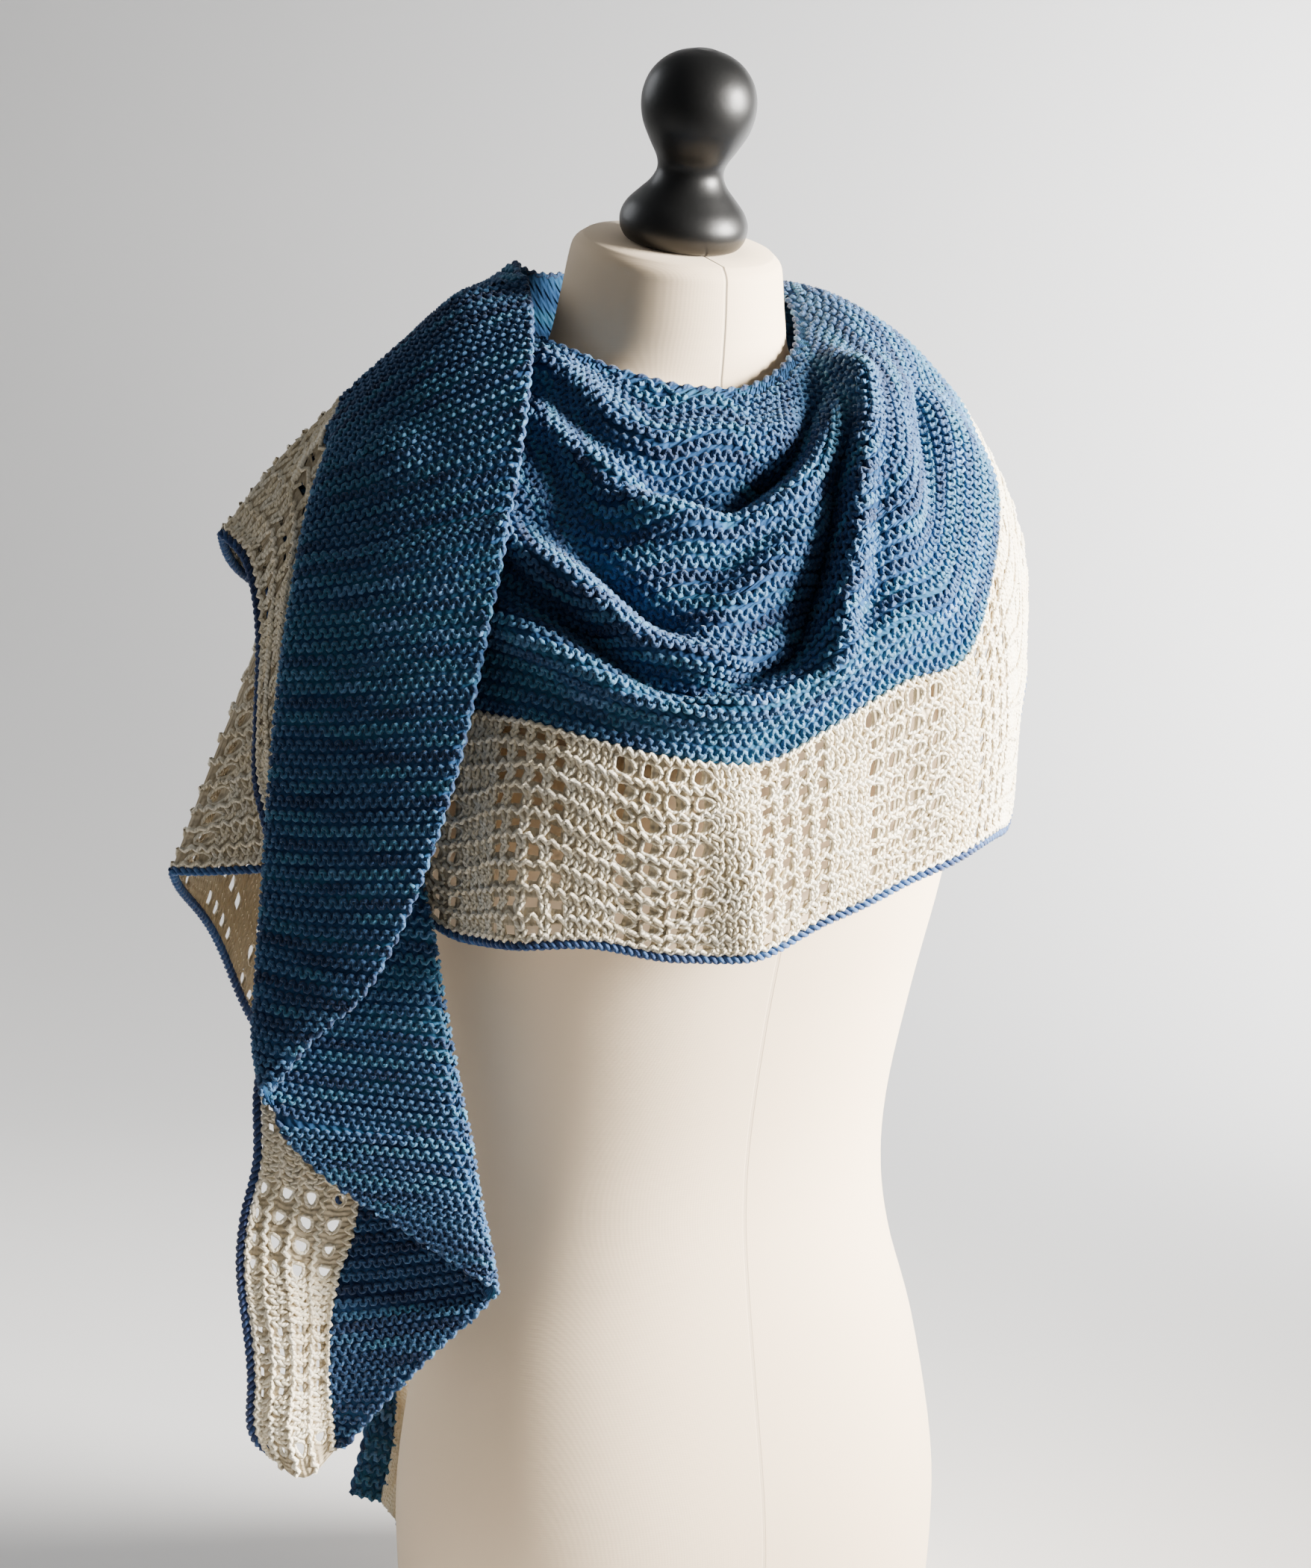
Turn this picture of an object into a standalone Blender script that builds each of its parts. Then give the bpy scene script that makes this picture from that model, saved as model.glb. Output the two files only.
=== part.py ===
"""A hand-knitted crescent shawl worn over a limbless dress form.

The shawl is garter stitch in blue with a pierced lace border in cream and a rolled blue
bind-off cord.  Its deep middle lies over the chest.  One wing passes back over the right
shoulder and hangs behind.  The other crosses the left shoulder and the back, comes over
the right shoulder on top of the first and falls in front in three folded faces.

The form faces -Y, its left side is +X, and its flat bottom stands on z = 0.
Every size below is in millimetres, every angle in degrees.
"""
import math

import bpy
import numpy as np
from mathutils import Vector
from mathutils.bvhtree import BVHTree

MM = 0.001

# Cloth
GARTER_THICK = 4.0
LACE_THICK = 2.4
CORD_RADIUS = 2.5
SEAM_GAP = 0.3
CORD_GAP = 0.6
CORNER_SWING = 2.2
CORNER_CLEAR = 0.5
AIR_OVER_FORM = 0.9
AIR_BETWEEN_LAYERS = 1.6
NARROWEST_FOLD = 9.5

# Lace pattern, measured along the border and down its depth
REPEAT_LENGTH = 137.0
EYELET_WIDTH = 8.4
EYELET_PITCH = 13.0
EYELETS_PER_REPEAT = 4
PLAIN_COLUMNS = 2
EYELET_HEIGHT = 6.4
SCALLOP_DROP = 7.0
FIRST_EYELETS = 128.0

# Turned knob
KNOB_TILT = 16.0
KNOB_FOOT_FORWARD = 14.0
KNOB_FOOT_HEIGHT = 764.2

# Sight line of the three-quarter view that the hanging folds are set out on
SIGHT_TURN = 27.0
SIGHT_BACK = 1500.0
SIGHT_HEIGHT = 700.0
SIGHT_AIM_HEIGHT = 480.0
SIGHT_AIM_ASIDE = -6.8

# height, half width, reach to the front, reach to the back, middle moved back, roundness, tilt
FORM_RINGS = [
    (0, 145, 100, 106, 0, 2.3, 0),
    (6, 148, 103, 108, 0, 2.3, 0),
    (60, 152, 109, 113, 0, 2.3, 0),
    (110, 151, 109, 112, 0, 2.3, 0),
    (180, 140, 98, 100, 0, 2.3, 0),
    (230, 127, 90, 90, 0, 2.2, 0),
    (268, 122, 87, 87, 0, 2.2, 0),
    (310, 124, 92, 88, 0, 2.2, 0),
    (370, 133, 108, 93, 0, 2.3, 0),
    (430, 143, 128, 99, 0, 2.4, 0),
    (480, 149, 137, 103, 0, 2.5, 0),
    (530, 153, 128, 106, 0, 2.5, 0),
    (580, 160, 108, 107, 0, 2.5, 0),
    (620, 170, 88, 103, 0, 2.6, 0),
    (645, 176, 76, 96, 2, 2.6, 0),
    (660, 170, 69, 88, 3, 2.4, 0),
    (673, 140, 65, 80, 3, 2.2, 0),
    (684, 104, 62, 72, 3, 2.1, 0),
    (696, 76, 60, 64, 2, 2.0, 3),
    (712, 64, 60, 60, 0, 2.0, 6),
    (733, 59, 58, 57, -4, 2.0, 11),
    (752, 56, 55, 55, -8, 2.0, 15),
    (760, 54, 53, 53, -10, 2.0, 16),
    (764.5, 49, 48, 48, -11.5, 2.0, 16),
]

# along the knob's own axis, radius
KNOB_PROFILE = [
    (0.0, 26.5),
    (1.5, 29.8),
    (6.0, 32.6),
    (12.5, 33.3),
    (19.0, 30.6),
    (25.0, 25.4),
    (31.0, 20.0),
    (37.0, 17.3),
    (43.0, 18.2),
    (51.0, 22.8),
    (60.0, 27.4),
    (69.0, 29.5),
    (77.0, 29.2),
    (85.0, 26.4),
    (92.0, 20.8),
    (96.5, 13.6),
    (99.0, 5.0),
]

# Sections round the body, from the right side over the chest, the left shoulder and the back.
# turn from the front toward the left, then out from the axis and height of:
# neck edge, upper, chest, lace line, middle of the lace, hem
WRAP = [
    (-100, 84, 722, 148, 692, 190, 648, 218, 562, 243, 502, 265, 447),
    (-90, 80, 717, 140, 686, 178, 638, 196, 557, 200, 497, 206, 443),
    (-80, 76, 713, 130, 678, 164, 628, 176, 552, 175, 492, 174, 436),
    (-63, 72, 706, 116, 660, 146, 604, 162, 536, 167, 480, 168, 421),
    (-50, 71, 700, 112, 652, 146, 596, 166, 532, 174, 477, 176, 419),
    (-38, 70, 696, 108, 646, 144, 588, 165, 524, 172, 472, 173, 424),
    (-25, 70, 692, 105, 640, 142, 580, 163, 516, 168, 467, 168, 420),
    (-10, 70, 690, 103, 638, 137, 578, 159, 513, 165, 464, 164, 416),
    (3, 70, 690, 103, 642, 137, 586, 159, 529, 166, 478, 165, 432),
    (16, 70, 694, 106, 654, 142, 604, 166, 548, 170, 499, 170, 449),
    (30, 70, 702, 110, 672, 152, 624, 177, 560, 182, 508, 179, 455),
    (40, 69, 708, 110, 687, 152, 646, 176, 594, 184, 530, 180, 458),
    (50, 68, 714, 106, 703, 147, 674, 173, 632, 184, 556, 181, 465),
    (63, 67, 721, 98, 720, 133, 700, 162, 662, 186, 588, 185, 503),
    (76, 68, 729, 99, 730, 132, 712, 158, 684, 194, 615, 200, 532),
    (90, 71, 737, 98, 738, 125, 722, 150, 700, 198, 640, 212, 556),
    (105, 79, 743, 102, 741, 128, 723, 152, 694, 196, 630, 212, 558),
    (120, 87, 746, 106, 735, 132, 708, 154, 668, 184, 612, 196, 546),
    (150, 91, 748, 108, 722, 122, 680, 132, 636, 142, 578, 150, 518),
    (180, 90, 750, 104, 715, 114, 666, 121, 612, 127, 554, 132, 492),
    (210, 88, 752, 108, 722, 124, 684, 136, 634, 146, 576, 154, 516),
    (235, 81, 755, 112, 735, 142, 702, 164, 664, 192, 618, 210, 568),
    (258, 76, 752, 106, 739, 138, 714, 172, 685, 206, 653, 236, 617),
]
WRAP_START = -100.0
WRAP_MEET = 90.0
WRAP_END = 258.0

# The wing that hangs behind: station, then turn, out and height of neck edge, lace line, hem
TAIL = [
    (0, -100, 84, 722, -100, 218, 562, -100, 265, 447),
    (1, -122, 92, 728, -116, 206, 560, -110, 250, 410),
    (2, -144, 104, 684, -130, 188, 492, -122, 232, 352),
    (3, -153, 116, 590, -138, 176, 410, -131, 216, 290),
    (4, -153, 126, 480, -142, 170, 330, -138, 206, 232),
    (5, -147, 138, 360, -141, 166, 258, -145, 196, 182),
    (6, -135, 154, 240, -134, 162, 186, -148, 178, 134),
    (7, -122, 167, 126, -127, 157, 112, -139, 153, 86),
    (8, -121, 178, 76, -126, 164, 66, -124, 150, 52),
]
TAIL_END = 8.0

# The falling wing, set out on the sight line: station, across, height, toward
FALL_NECK_EDGE = [
    (0, -76, 752, 18),
    (1, -73, 726, 66),
    (2, -76, 680, 110),
    (3, -85, 622, 138),
    (4, -98, 556, 156),
    (5, -113, 488, 168),
    (6, -134, 424, 172),
    (7, -160, 372, 170),
    (8, -191, 343, 165),
    (9, -212, 317, 158),
]
FALL_SECOND_EDGE = [
    (9, -210, 297, 142),
    (10, -186, 272, 141),
    (11, -140, 241, 138),
    (12, -100, 215, 134),
]
FALL_THIRD_EDGE = [
    (12, -96, 202, 124),
    (13, -124, 177, 123),
    (14, -158, 143, 121),
    (15, -174, 124, 119),
]
FALL_LEFT_FOLD = [
    (0, -171, 685, 45),
    (1, -181, 660, 74),
    (2, -190, 634, 92),
    (3, -198, 596, 110),
    (4, -206, 546, 124),
    (5, -212, 486, 134),
    (6, -216, 426, 141),
    (7, -219, 382, 146),
    (8, -221, 346, 149),
    (9, -218, 322, 151),
]
FALL_LEFT_TUCK = [
    (0, -171, 685, 45),
    (1, -178, 655, 64),
    (2, -186, 624, 80),
    (3, -190, 590, 97),
    (4, -198, 541, 111),
    (5, -204, 482, 121),
    (6, -208, 422, 128),
    (7, -212, 376, 133),
    (8, -215, 338, 137),
    (9, -211, 306, 141),
]
FALL_RIGHT_FOLD = [
    (3, -178, 586, 103),
    (4, -162, 536, 119),
    (5, -146, 476, 132),
    (6, -129, 410, 138),
    (7, -122, 366, 140),
    (8, -114, 322, 140),
    (9, -107, 288, 138),
    (10, -101, 252, 136),
    (11, -96, 228, 134),
    (12, -93, 210, 131),
]
FALL_RIGHT_TUCK = [
    (3, -180, 582, 94),
    (4, -167, 532, 107),
    (5, -153, 472, 118),
    (6, -137, 406, 124),
    (7, -130, 361, 126),
    (8, -122, 317, 126),
    (9, -115, 283, 125),
    (10, -109, 247, 124),
    (11, -103, 223, 123),
    (12, -97, 203, 123),
]
FALL_LACE_LINE = [
    (0, -171, 685, 45),
    (1, -178, 655, 64),
    (2, -186, 624, 80),
    (3, -190, 578, 87),
    (4, -188, 524, 97),
    (5, -184, 464, 106),
    (6, -179, 400, 112),
    (7, -175, 352, 116),
    (8, -170, 308, 118),
    (9, -165, 268, 119),
    (10, -169, 238, 119),
    (11, -177, 214, 119),
    (12, -181, 190, 119),
    (13, -182, 166, 119),
    (14, -180, 144, 118),
    (15, -178, 124, 117),
]
FALL_HEM = [
    (0, -236, 617, 61),
    (1, -227, 588, 72),
    (2, -221, 552, 82),
    (3, -220, 512, 90),
    (4, -221, 474, 98),
    (5, -217, 436, 106),
    (6, -214, 396, 114),
    (7, -218, 350, 121),
    (8, -227, 313, 126),
    (9, -224, 276, 130),
    (10, -227, 246, 131),
    (11, -230, 218, 131),
    (12, -231, 190, 130),
    (13, -230, 160, 128),
    (14, -227, 134, 125),
    (15, -212, 111, 121),
]
FALL_END = 15.0

# Folds of the chest, set out on the sight line.  Each row: across, height, depth, width.
# A ridge stands out by its depth, a valley goes in by it.
NECK_ROLL = [
    (-86, 714, 4.3, 9), (-52, 692, 5.2, 10), (-22, 665, 6.1, 11), (-5, 659, 6.4, 12),
    (28, 661, 6.1, 12), (50, 662, 5.2, 11), (66, 668, 4.3, 10),
]
VALLEY_UNDER_ROLL = [
    (-60, 652, -3.5, 8), (-26, 634, -5.8, 8), (4, 630, -7.2, 8), (30, 621, -10.2, 7),
    (50, 638, -11.0, 7), (65, 652, -10.2, 7), (76, 675, -7.2, 7), (84, 688, -4.3, 8),
]
UPPER_SWAG = [
    (-69, 671, 5.8, 10), (-50, 652, 8.7, 10), (-32, 638, 11.0, 11), (-15, 624, 12.2, 11),
    (0, 618, 12.2, 11), (20, 615, 12.2, 11), (40, 618, 11.6, 10), (60, 628, 10.2, 9),
    (75, 642, 8.7, 9), (88, 665, 7.2, 9), (90, 685, 4.3, 9),
]
VALLEY_UNDER_SWAG = [
    (-80, 632, -5.8, 7), (-60, 615, -9.6, 7), (-35, 592, -10.7, 7), (-10, 570, -8.7, 8),
    (8, 560, -4.3, 9),
]
MIDDLE_SWAG = [
    (-85, 615, 8.7, 9), (-68, 598, 11.0, 9), (-50, 585, 11.6, 9), (-30, 568, 11.6, 9),
    (-15, 555, 11.3, 9), (0, 548, 10.7, 9), (20, 542, 10.2, 10), (42, 545, 8.1, 10),
    (60, 548, 5.8, 10),
]
RISING_FACE = [
    (18, 562, 2.9, 12), (40, 580, 5.8, 13), (60, 600, 6.7, 13), (75, 622, 5.8, 12),
]
VALLEY_UNDER_MIDDLE = [
    (-95, 600, -5.8, 7), (-60, 570, -9.3, 7), (-35, 548, -10.7, 7), (-10, 530, -11.3, 7),
    (10, 525, -10.7, 7), (30, 528, -9.6, 7), (50, 538, -8.7, 7), (65, 545, -5.8, 7),
]
LOWER_SWAG = [
    (-98, 580, 5.8, 9), (-80, 565, 8.7, 10), (-60, 552, 10.7, 10), (-40, 541, 11.6, 10),
    (-20, 530, 11.9, 10), (0, 522, 11.9, 10), (20, 520, 11.6, 10), (45, 522, 11.0, 10),
    (65, 530, 10.2, 11), (90, 542, 9.3, 12), (115, 560, 7.2, 13), (140, 580, 4.3, 13),
]
PLEAT_VALLEY = [
    (98, 678, -7.2, 7), (92, 640, -13.0, 6), (88, 610, -15.9, 6), (82, 585, -15.9, 6),
    (75, 560, -11.6, 6), (62, 542, -5.8, 6),
]
PLEAT_RIDGE = [
    (90, 702, 4.3, 7), (101, 692, 8.7, 7), (101, 660, 11.6, 8), (98, 625, 13.0, 8),
    (94, 590, 12.5, 9), (88, 560, 10.2, 9), (84, 545, 5.8, 9),
]
SHOULDER_CREASE = [
    (120, 706, -2.9, 9), (134, 698, -4.9, 9), (137, 680, -5.8, 10), (141, 642, -3.8, 10),
    (140, 610, -1.4, 11),
]
OUTER_SWELL = [
    (116, 700, 2.9, 12), (118, 660, 5.8, 13), (120, 620, 5.8, 14), (118, 590, 4.3, 14),
]
LACE_FLUTE_A = [
    (-90, 500, 2.0, 12), (-84, 470, 4.0, 13), (-80, 440, 6.0, 14), (-80, 400, 7.0, 15),
]
LACE_FLUTE_B = [
    (36, 500, 1.5, 14), (40, 460, 4.0, 15), (44, 430, 6.0, 16), (44, 392, 7.0, 17),
]
LACE_HOLLOW_A = [
    (-30, 500, -1.0, 16), (-26, 460, -2.6, 18), (-24, 430, -4.0, 20), (-24, 400, -5.0, 22),
]
LACE_HOLLOW_B = [
    (112, 530, -1.0, 16), (122, 500, -2.6, 16), (126, 470, -3.6, 16), (128, 440, -4.0, 16),
]
CHEST_FOLDS = [
    NECK_ROLL, VALLEY_UNDER_ROLL, UPPER_SWAG, VALLEY_UNDER_SWAG, MIDDLE_SWAG, RISING_FACE,
    VALLEY_UNDER_MIDDLE, LOWER_SWAG, PLEAT_VALLEY, PLEAT_RIDGE, SHOULDER_CREASE, OUTER_SWELL,
    LACE_FLUTE_A, LACE_FLUTE_B, LACE_HOLLOW_A, LACE_HOLLOW_B,
]
CHEST_FOLD_TURNS = (-88.0, -70.0, 62.0, 84.0)

# Folds of the back and the left shoulder: turn and height at the top, turn and height at the
# bottom, depth, width
BACK_FOLDS = [
    (112, 745, 104, 575, 5.0, 9),
    (133, 740, 124, 560, -5.0, 9),
    (148, 735, 146, 530, 4.5, 10),
    (164, 742, 168, 520, -4.0, 10),
    (186, 735, 184, 500, 5.0, 11),
    (203, 742, 207, 520, -4.5, 10),
    (221, 745, 224, 560, 5.0, 9),
    (238, 745, 241, 590, -4.0, 8),
]
COLOURS = {
    "garter": ((0.105, 0.215, 0.345, 1.0), 0.86),
    "lace": ((0.80, 0.765, 0.665, 1.0), 0.84),
    "cord": ((0.060, 0.105, 0.205, 1.0), 0.84),
    "cover": ((0.74, 0.69, 0.585, 1.0), 0.80),
    "knob": ((0.012, 0.011, 0.012, 1.0), 0.34),
}


# Numbers and curves

def through(table, at):
    """Smooth values of a table's columns at the places given; its first column is the place."""
    table = np.asarray(table, float)
    at = np.asarray(at, float)
    place, value = table[:, 0], table[:, 1:]
    slope = np.gradient(value, place, axis=0)
    i = np.clip(np.searchsorted(place, at, side="right") - 1, 0, len(place) - 2)
    step = (place[i + 1] - place[i])[:, None]
    t = (at - place[i])[:, None] / step
    start = value[i] * (1 + 2 * t) * (1 - t) ** 2 + slope[i] * step * t * (1 - t) ** 2
    finish = value[i + 1] * t ** 2 * (3 - 2 * t) - slope[i + 1] * step * t ** 2 * (1 - t)
    return start + finish


def unit(vectors):
    """Vectors at length one."""
    length = np.linalg.norm(vectors, axis=-1, keepdims=True)
    return vectors / np.maximum(length, 1e-9)


def smooth_step(value, low, high):
    """0 below low, 1 above high, eased between them."""
    t = np.clip((np.asarray(value, float) - low) / (high - low), 0, 1)
    return t * t * (3 - 2 * t)


def around(turn, out, height):
    """A place from its turn about the axis, its distance from it and its height."""
    angle = np.radians(turn)
    return np.stack([out * np.sin(angle), -out * np.cos(angle), height + 0 * out], axis=-1)


def sight_axes():
    """Right, toward and up of the sight line, with its eye and its aim."""
    turn = math.radians(SIGHT_TURN)
    right = np.array([math.cos(turn), -math.sin(turn), 0.0])
    toward = np.array([-math.sin(turn), -math.cos(turn), 0.0])
    rise = np.array([0.0, 0.0, 1.0])
    aim = right * SIGHT_AIM_ASIDE + rise * SIGHT_AIM_HEIGHT
    eye = right * SIGHT_AIM_ASIDE + toward * SIGHT_BACK + rise * SIGHT_HEIGHT
    forward = (aim - eye) / np.linalg.norm(aim - eye)
    up = np.cross(right, forward)
    return right, toward, up, forward, eye, aim


def seen(across, height, toward):
    """The place on a sight line: across and height where it is read, toward how near it lies."""
    right, near, up, _, eye, aim = sight_axes()
    across, height, toward = (np.asarray(v, float)[..., None] for v in (across, height, toward))
    line = aim + right * (across - SIGHT_AIM_ASIDE) + up * (height - SIGHT_AIM_HEIGHT) - eye
    reach = (toward[..., 0] - eye @ near) / (line @ near)
    return eye + line * reach[..., None]


def read_off(points):
    """Across and height at which places are read along the sight line."""
    right, _, up, forward, eye, aim = sight_axes()
    line = points - eye
    scale = np.linalg.norm(aim - eye) / (line @ forward)
    across = line @ right * scale + SIGHT_AIM_ASIDE
    height = line @ up * scale + SIGHT_AIM_HEIGHT
    return across, height


def curve_through(knots, count_fine=24):
    """Fine points of a smooth curve through knots [..., knot, xyz], and the knots' indices."""
    knots = np.asarray(knots, float)
    step = np.linalg.norm(np.diff(knots, axis=-2), axis=-1) ** 0.5
    place = np.concatenate([np.zeros(step.shape[:-1] + (1,)), np.cumsum(step, -1)], -1)
    rows = []
    last = knots.shape[-2] - 1
    for k in range(last):
        a, b = knots[..., k, :], knots[..., k + 1, :]
        h = (place[..., k + 1] - place[..., k])[..., None]
        slope_a = knot_slope(knots, place, k, last)
        slope_b = knot_slope(knots, place, k + 1, last)
        for j in range(count_fine):
            t = j / count_fine
            rows.append(a * (1 + 2 * t) * (1 - t) ** 2 + slope_a * h * t * (1 - t) ** 2
                        + b * t * t * (3 - 2 * t) - slope_b * h * t * t * (1 - t))
    rows.append(knots[..., last, :])
    return np.stack(rows, axis=-2), [k * count_fine for k in range(last + 1)]


def knot_slope(knots, place, k, last):
    """Slope of the curve at one knot."""
    low, high = max(k - 1, 0), min(k + 1, last)
    run = (place[..., high] - place[..., low])[..., None]
    chord = (knots[..., high, :] - knots[..., low, :]) / run
    if 0 < k < last:
        h0 = (place[..., k] - place[..., k - 1])[..., None]
        h1 = (place[..., k + 1] - place[..., k])[..., None]
        d0 = (knots[..., k, :] - knots[..., k - 1, :]) / h0
        d1 = (knots[..., k + 1, :] - knots[..., k, :]) / h1
        chord = (d0 * h1 + d1 * h0) / (h0 + h1)
    return chord


def share_out(fine, first, last, shares):
    """Points of fine curves [row, point, xyz] at shares of the length between two indices."""
    part = fine[:, first:last + 1]
    step = np.linalg.norm(np.diff(part, axis=1), axis=-1)
    run = np.concatenate([np.zeros((len(part), 1)), np.cumsum(step, 1)], 1)
    result = np.empty((len(part), len(shares), 3))
    for row in range(len(part)):
        want = np.asarray(shares) * run[row, -1]
        for axis in range(3):
            result[row, :, axis] = np.interp(want, run[row], part[row, :, axis])
    return result


def normals(grid):
    """Unit normals of a grid of points, to the side where stations cross depth."""
    along = np.gradient(grid, axis=0)
    down = np.gradient(grid, axis=1)
    return unit(np.cross(down, along))


def headings_of(line):
    """Unit headings along a line of points, each halving the bend at its point."""
    ahead = unit(np.diff(line, axis=0))
    return unit(np.concatenate([ahead[:1], ahead[1:] + ahead[:-1], ahead[-1:]]))


def inward(edge, neighbour):
    """Unit directions from an edge toward its inner neighbours, square to the edge."""
    along = headings_of(edge)
    toward = neighbour - edge
    return unit(toward - along * np.sum(toward * along, axis=-1, keepdims=True))


def draw_in(grid, sides, amount):
    """Moves the edges named toward the grid's inside by the amount."""
    grid = grid.copy()
    if "first" in sides:
        grid[0] += inward(grid[0], grid[1]) * amount
    if "last" in sides:
        grid[-1] += inward(grid[-1], grid[-2]) * amount
    if "top" in sides:
        grid[:, 0] += inward(grid[:, 0], grid[:, 1]) * amount
    if "bottom" in sides:
        grid[:, -1] += inward(grid[:, -1], grid[:, -2]) * amount
    return grid


# Folds

def fold_depth(points, folds):
    """How far folds read on the sight line move the cloth out at each place."""
    across, height = read_off(points)
    total = np.zeros(across.shape)
    for table in folds:
        rows = np.asarray(table, float)
        place = np.arange(len(rows), dtype=float)
        fine = through(np.column_stack([place, rows]), np.linspace(0, len(rows) - 1, 60))
        gap_a = across[..., None] - fine[:, 0]
        gap_h = height[..., None] - fine[:, 1]
        square = gap_a ** 2 + gap_h ** 2
        nearest = np.argmin(square, axis=-1)
        width = np.maximum(fine[nearest, 3], NARROWEST_FOLD)
        distance = np.sqrt(np.take_along_axis(square, nearest[..., None], -1)[..., 0])
        share = (fine[nearest, 3] / width) ** 0.6
        total += fine[nearest, 2] * share * np.exp(-(distance / width) ** 2)
    return total


def back_fold_depth(turn, height):
    """How far the folds of the back move the cloth out."""
    total = np.zeros(np.shape(turn))
    for top_turn, top, low_turn, low, depth, width in BACK_FOLDS:
        t = np.clip((top - height) / (top - low), 0, 1)
        middle = top_turn + (low_turn - top_turn) * t
        swell = np.sin(np.pi * np.clip(0.12 + 0.8 * t, 0, 1)) ** 0.7
        total += depth * swell * np.exp(-((turn - middle) / width) ** 2)
    return total


# Layers

class Layer:
    """An open surface that other cloth is kept outside of."""

    def __init__(self, grid, margin):
        rows, columns = grid.shape[:2]
        points = [Vector(p) for p in grid.reshape(-1, 3)]
        faces = []
        for i in range(rows - 1):
            for j in range(columns - 1):
                a = i * columns + j
                faces.append((a, a + 1, a + columns + 1, a + columns))
        self.tree = BVHTree.FromPolygons(points, faces)
        self.margin = margin

    def keep_out(self, grid):
        """The grid with every place that is too near moved outward."""
        moved = grid.copy()
        for index in np.ndindex(grid.shape[:2]):
            place = Vector(grid[index])
            hit, normal, _, _ = self.tree.find_nearest(place)
            if hit is None:
                continue
            out = (place - hit).dot(normal)
            aside = ((place - hit) - normal * out).length
            if out < self.margin and out > -30 and aside < 10.0:
                moved[index] = np.array(place + normal * (self.margin - out))
        return moved


class Body:
    """A closed body that cloth rests on."""

    def __init__(self, points, faces):
        self.tree = BVHTree.FromPolygons([Vector(p) for p in points], faces)

    def keep_out(self, grid, margin):
        """The grid with every place that is too near moved outward."""
        moved = grid.copy()
        for index in np.ndindex(grid.shape[:2]):
            place = Vector(grid[index])
            hit, normal, _, _ = self.tree.find_nearest(place)
            out = (place - hit).dot(normal)
            if out < margin:
                moved[index] = np.array(hit + normal * margin)
        return moved


def halved(grid):
    """The grid with a place added in the middle of every gap."""
    wide = np.empty((2 * grid.shape[0] - 1, grid.shape[1], 3))
    wide[0::2] = grid
    wide[1::2] = (grid[1:] + grid[:-1]) / 2
    full = np.empty((wide.shape[0], 2 * grid.shape[1] - 1, 3))
    full[:, 0::2] = wide
    full[:, 1::2] = (wide[:, 1:] + wide[:, :-1]) / 2
    return full


def needed_shift(grid, push):
    """The shift each place needs so that it and the half gaps round it are clear."""
    fine = halved(grid)
    shift = push(fine) - fine
    wide = np.pad(shift, ((1, 1), (1, 1), (0, 0)))
    best = np.zeros(grid.shape)
    size = np.zeros(grid.shape[:2])
    for i in range(3):
        for j in range(3):
            near = wide[i:i + shift.shape[0]:2, j:j + shift.shape[1]:2]
            length = np.linalg.norm(near, axis=-1)
            better = length > size
            best[better] = near[better]
            size = np.maximum(size, length)
    return best


def settle(grid, push):
    """The grid pushed clear of what lies under it, with the push eased into the cloth round it."""
    for _ in range(4):
        shift = needed_shift(grid, push)
        for _ in range(2):
            wide = np.pad(shift, ((1, 1), (1, 1), (0, 0)), mode="edge")
            shift = (2 * shift + wide[:-2, 1:-1] + wide[2:, 1:-1]
                     + wide[1:-1, :-2] + wide[1:-1, 2:]) / 6
        grid = grid + shift
    for _ in range(3):
        grid = grid + needed_shift(grid, push)
    return grid


# Meshes

def material(key):
    """The plain material of one kind of piece."""
    found = bpy.data.materials.get(key)
    if found:
        return found
    colour, rough = COLOURS[key]
    made = bpy.data.materials.new(key)
    made.use_nodes = True
    shader = made.node_tree.nodes["Principled BSDF"]
    shader.inputs["Base Color"].default_value = colour
    shader.inputs["Roughness"].default_value = rough
    shader.inputs["Metallic"].default_value = 0.0
    return made


def make_object(name, points, faces, key):
    """An object of the points and faces given, in metres and shaded smooth."""
    mesh = bpy.data.meshes.new(name)
    mesh.from_pydata([tuple(float(c) * MM for c in p) for p in points], [], faces)
    mesh.validate()
    mesh.shade_smooth()
    mesh.materials.append(material(key))
    made = bpy.data.objects.new(name, mesh)
    bpy.context.scene.collection.objects.link(made)
    return made


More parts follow.
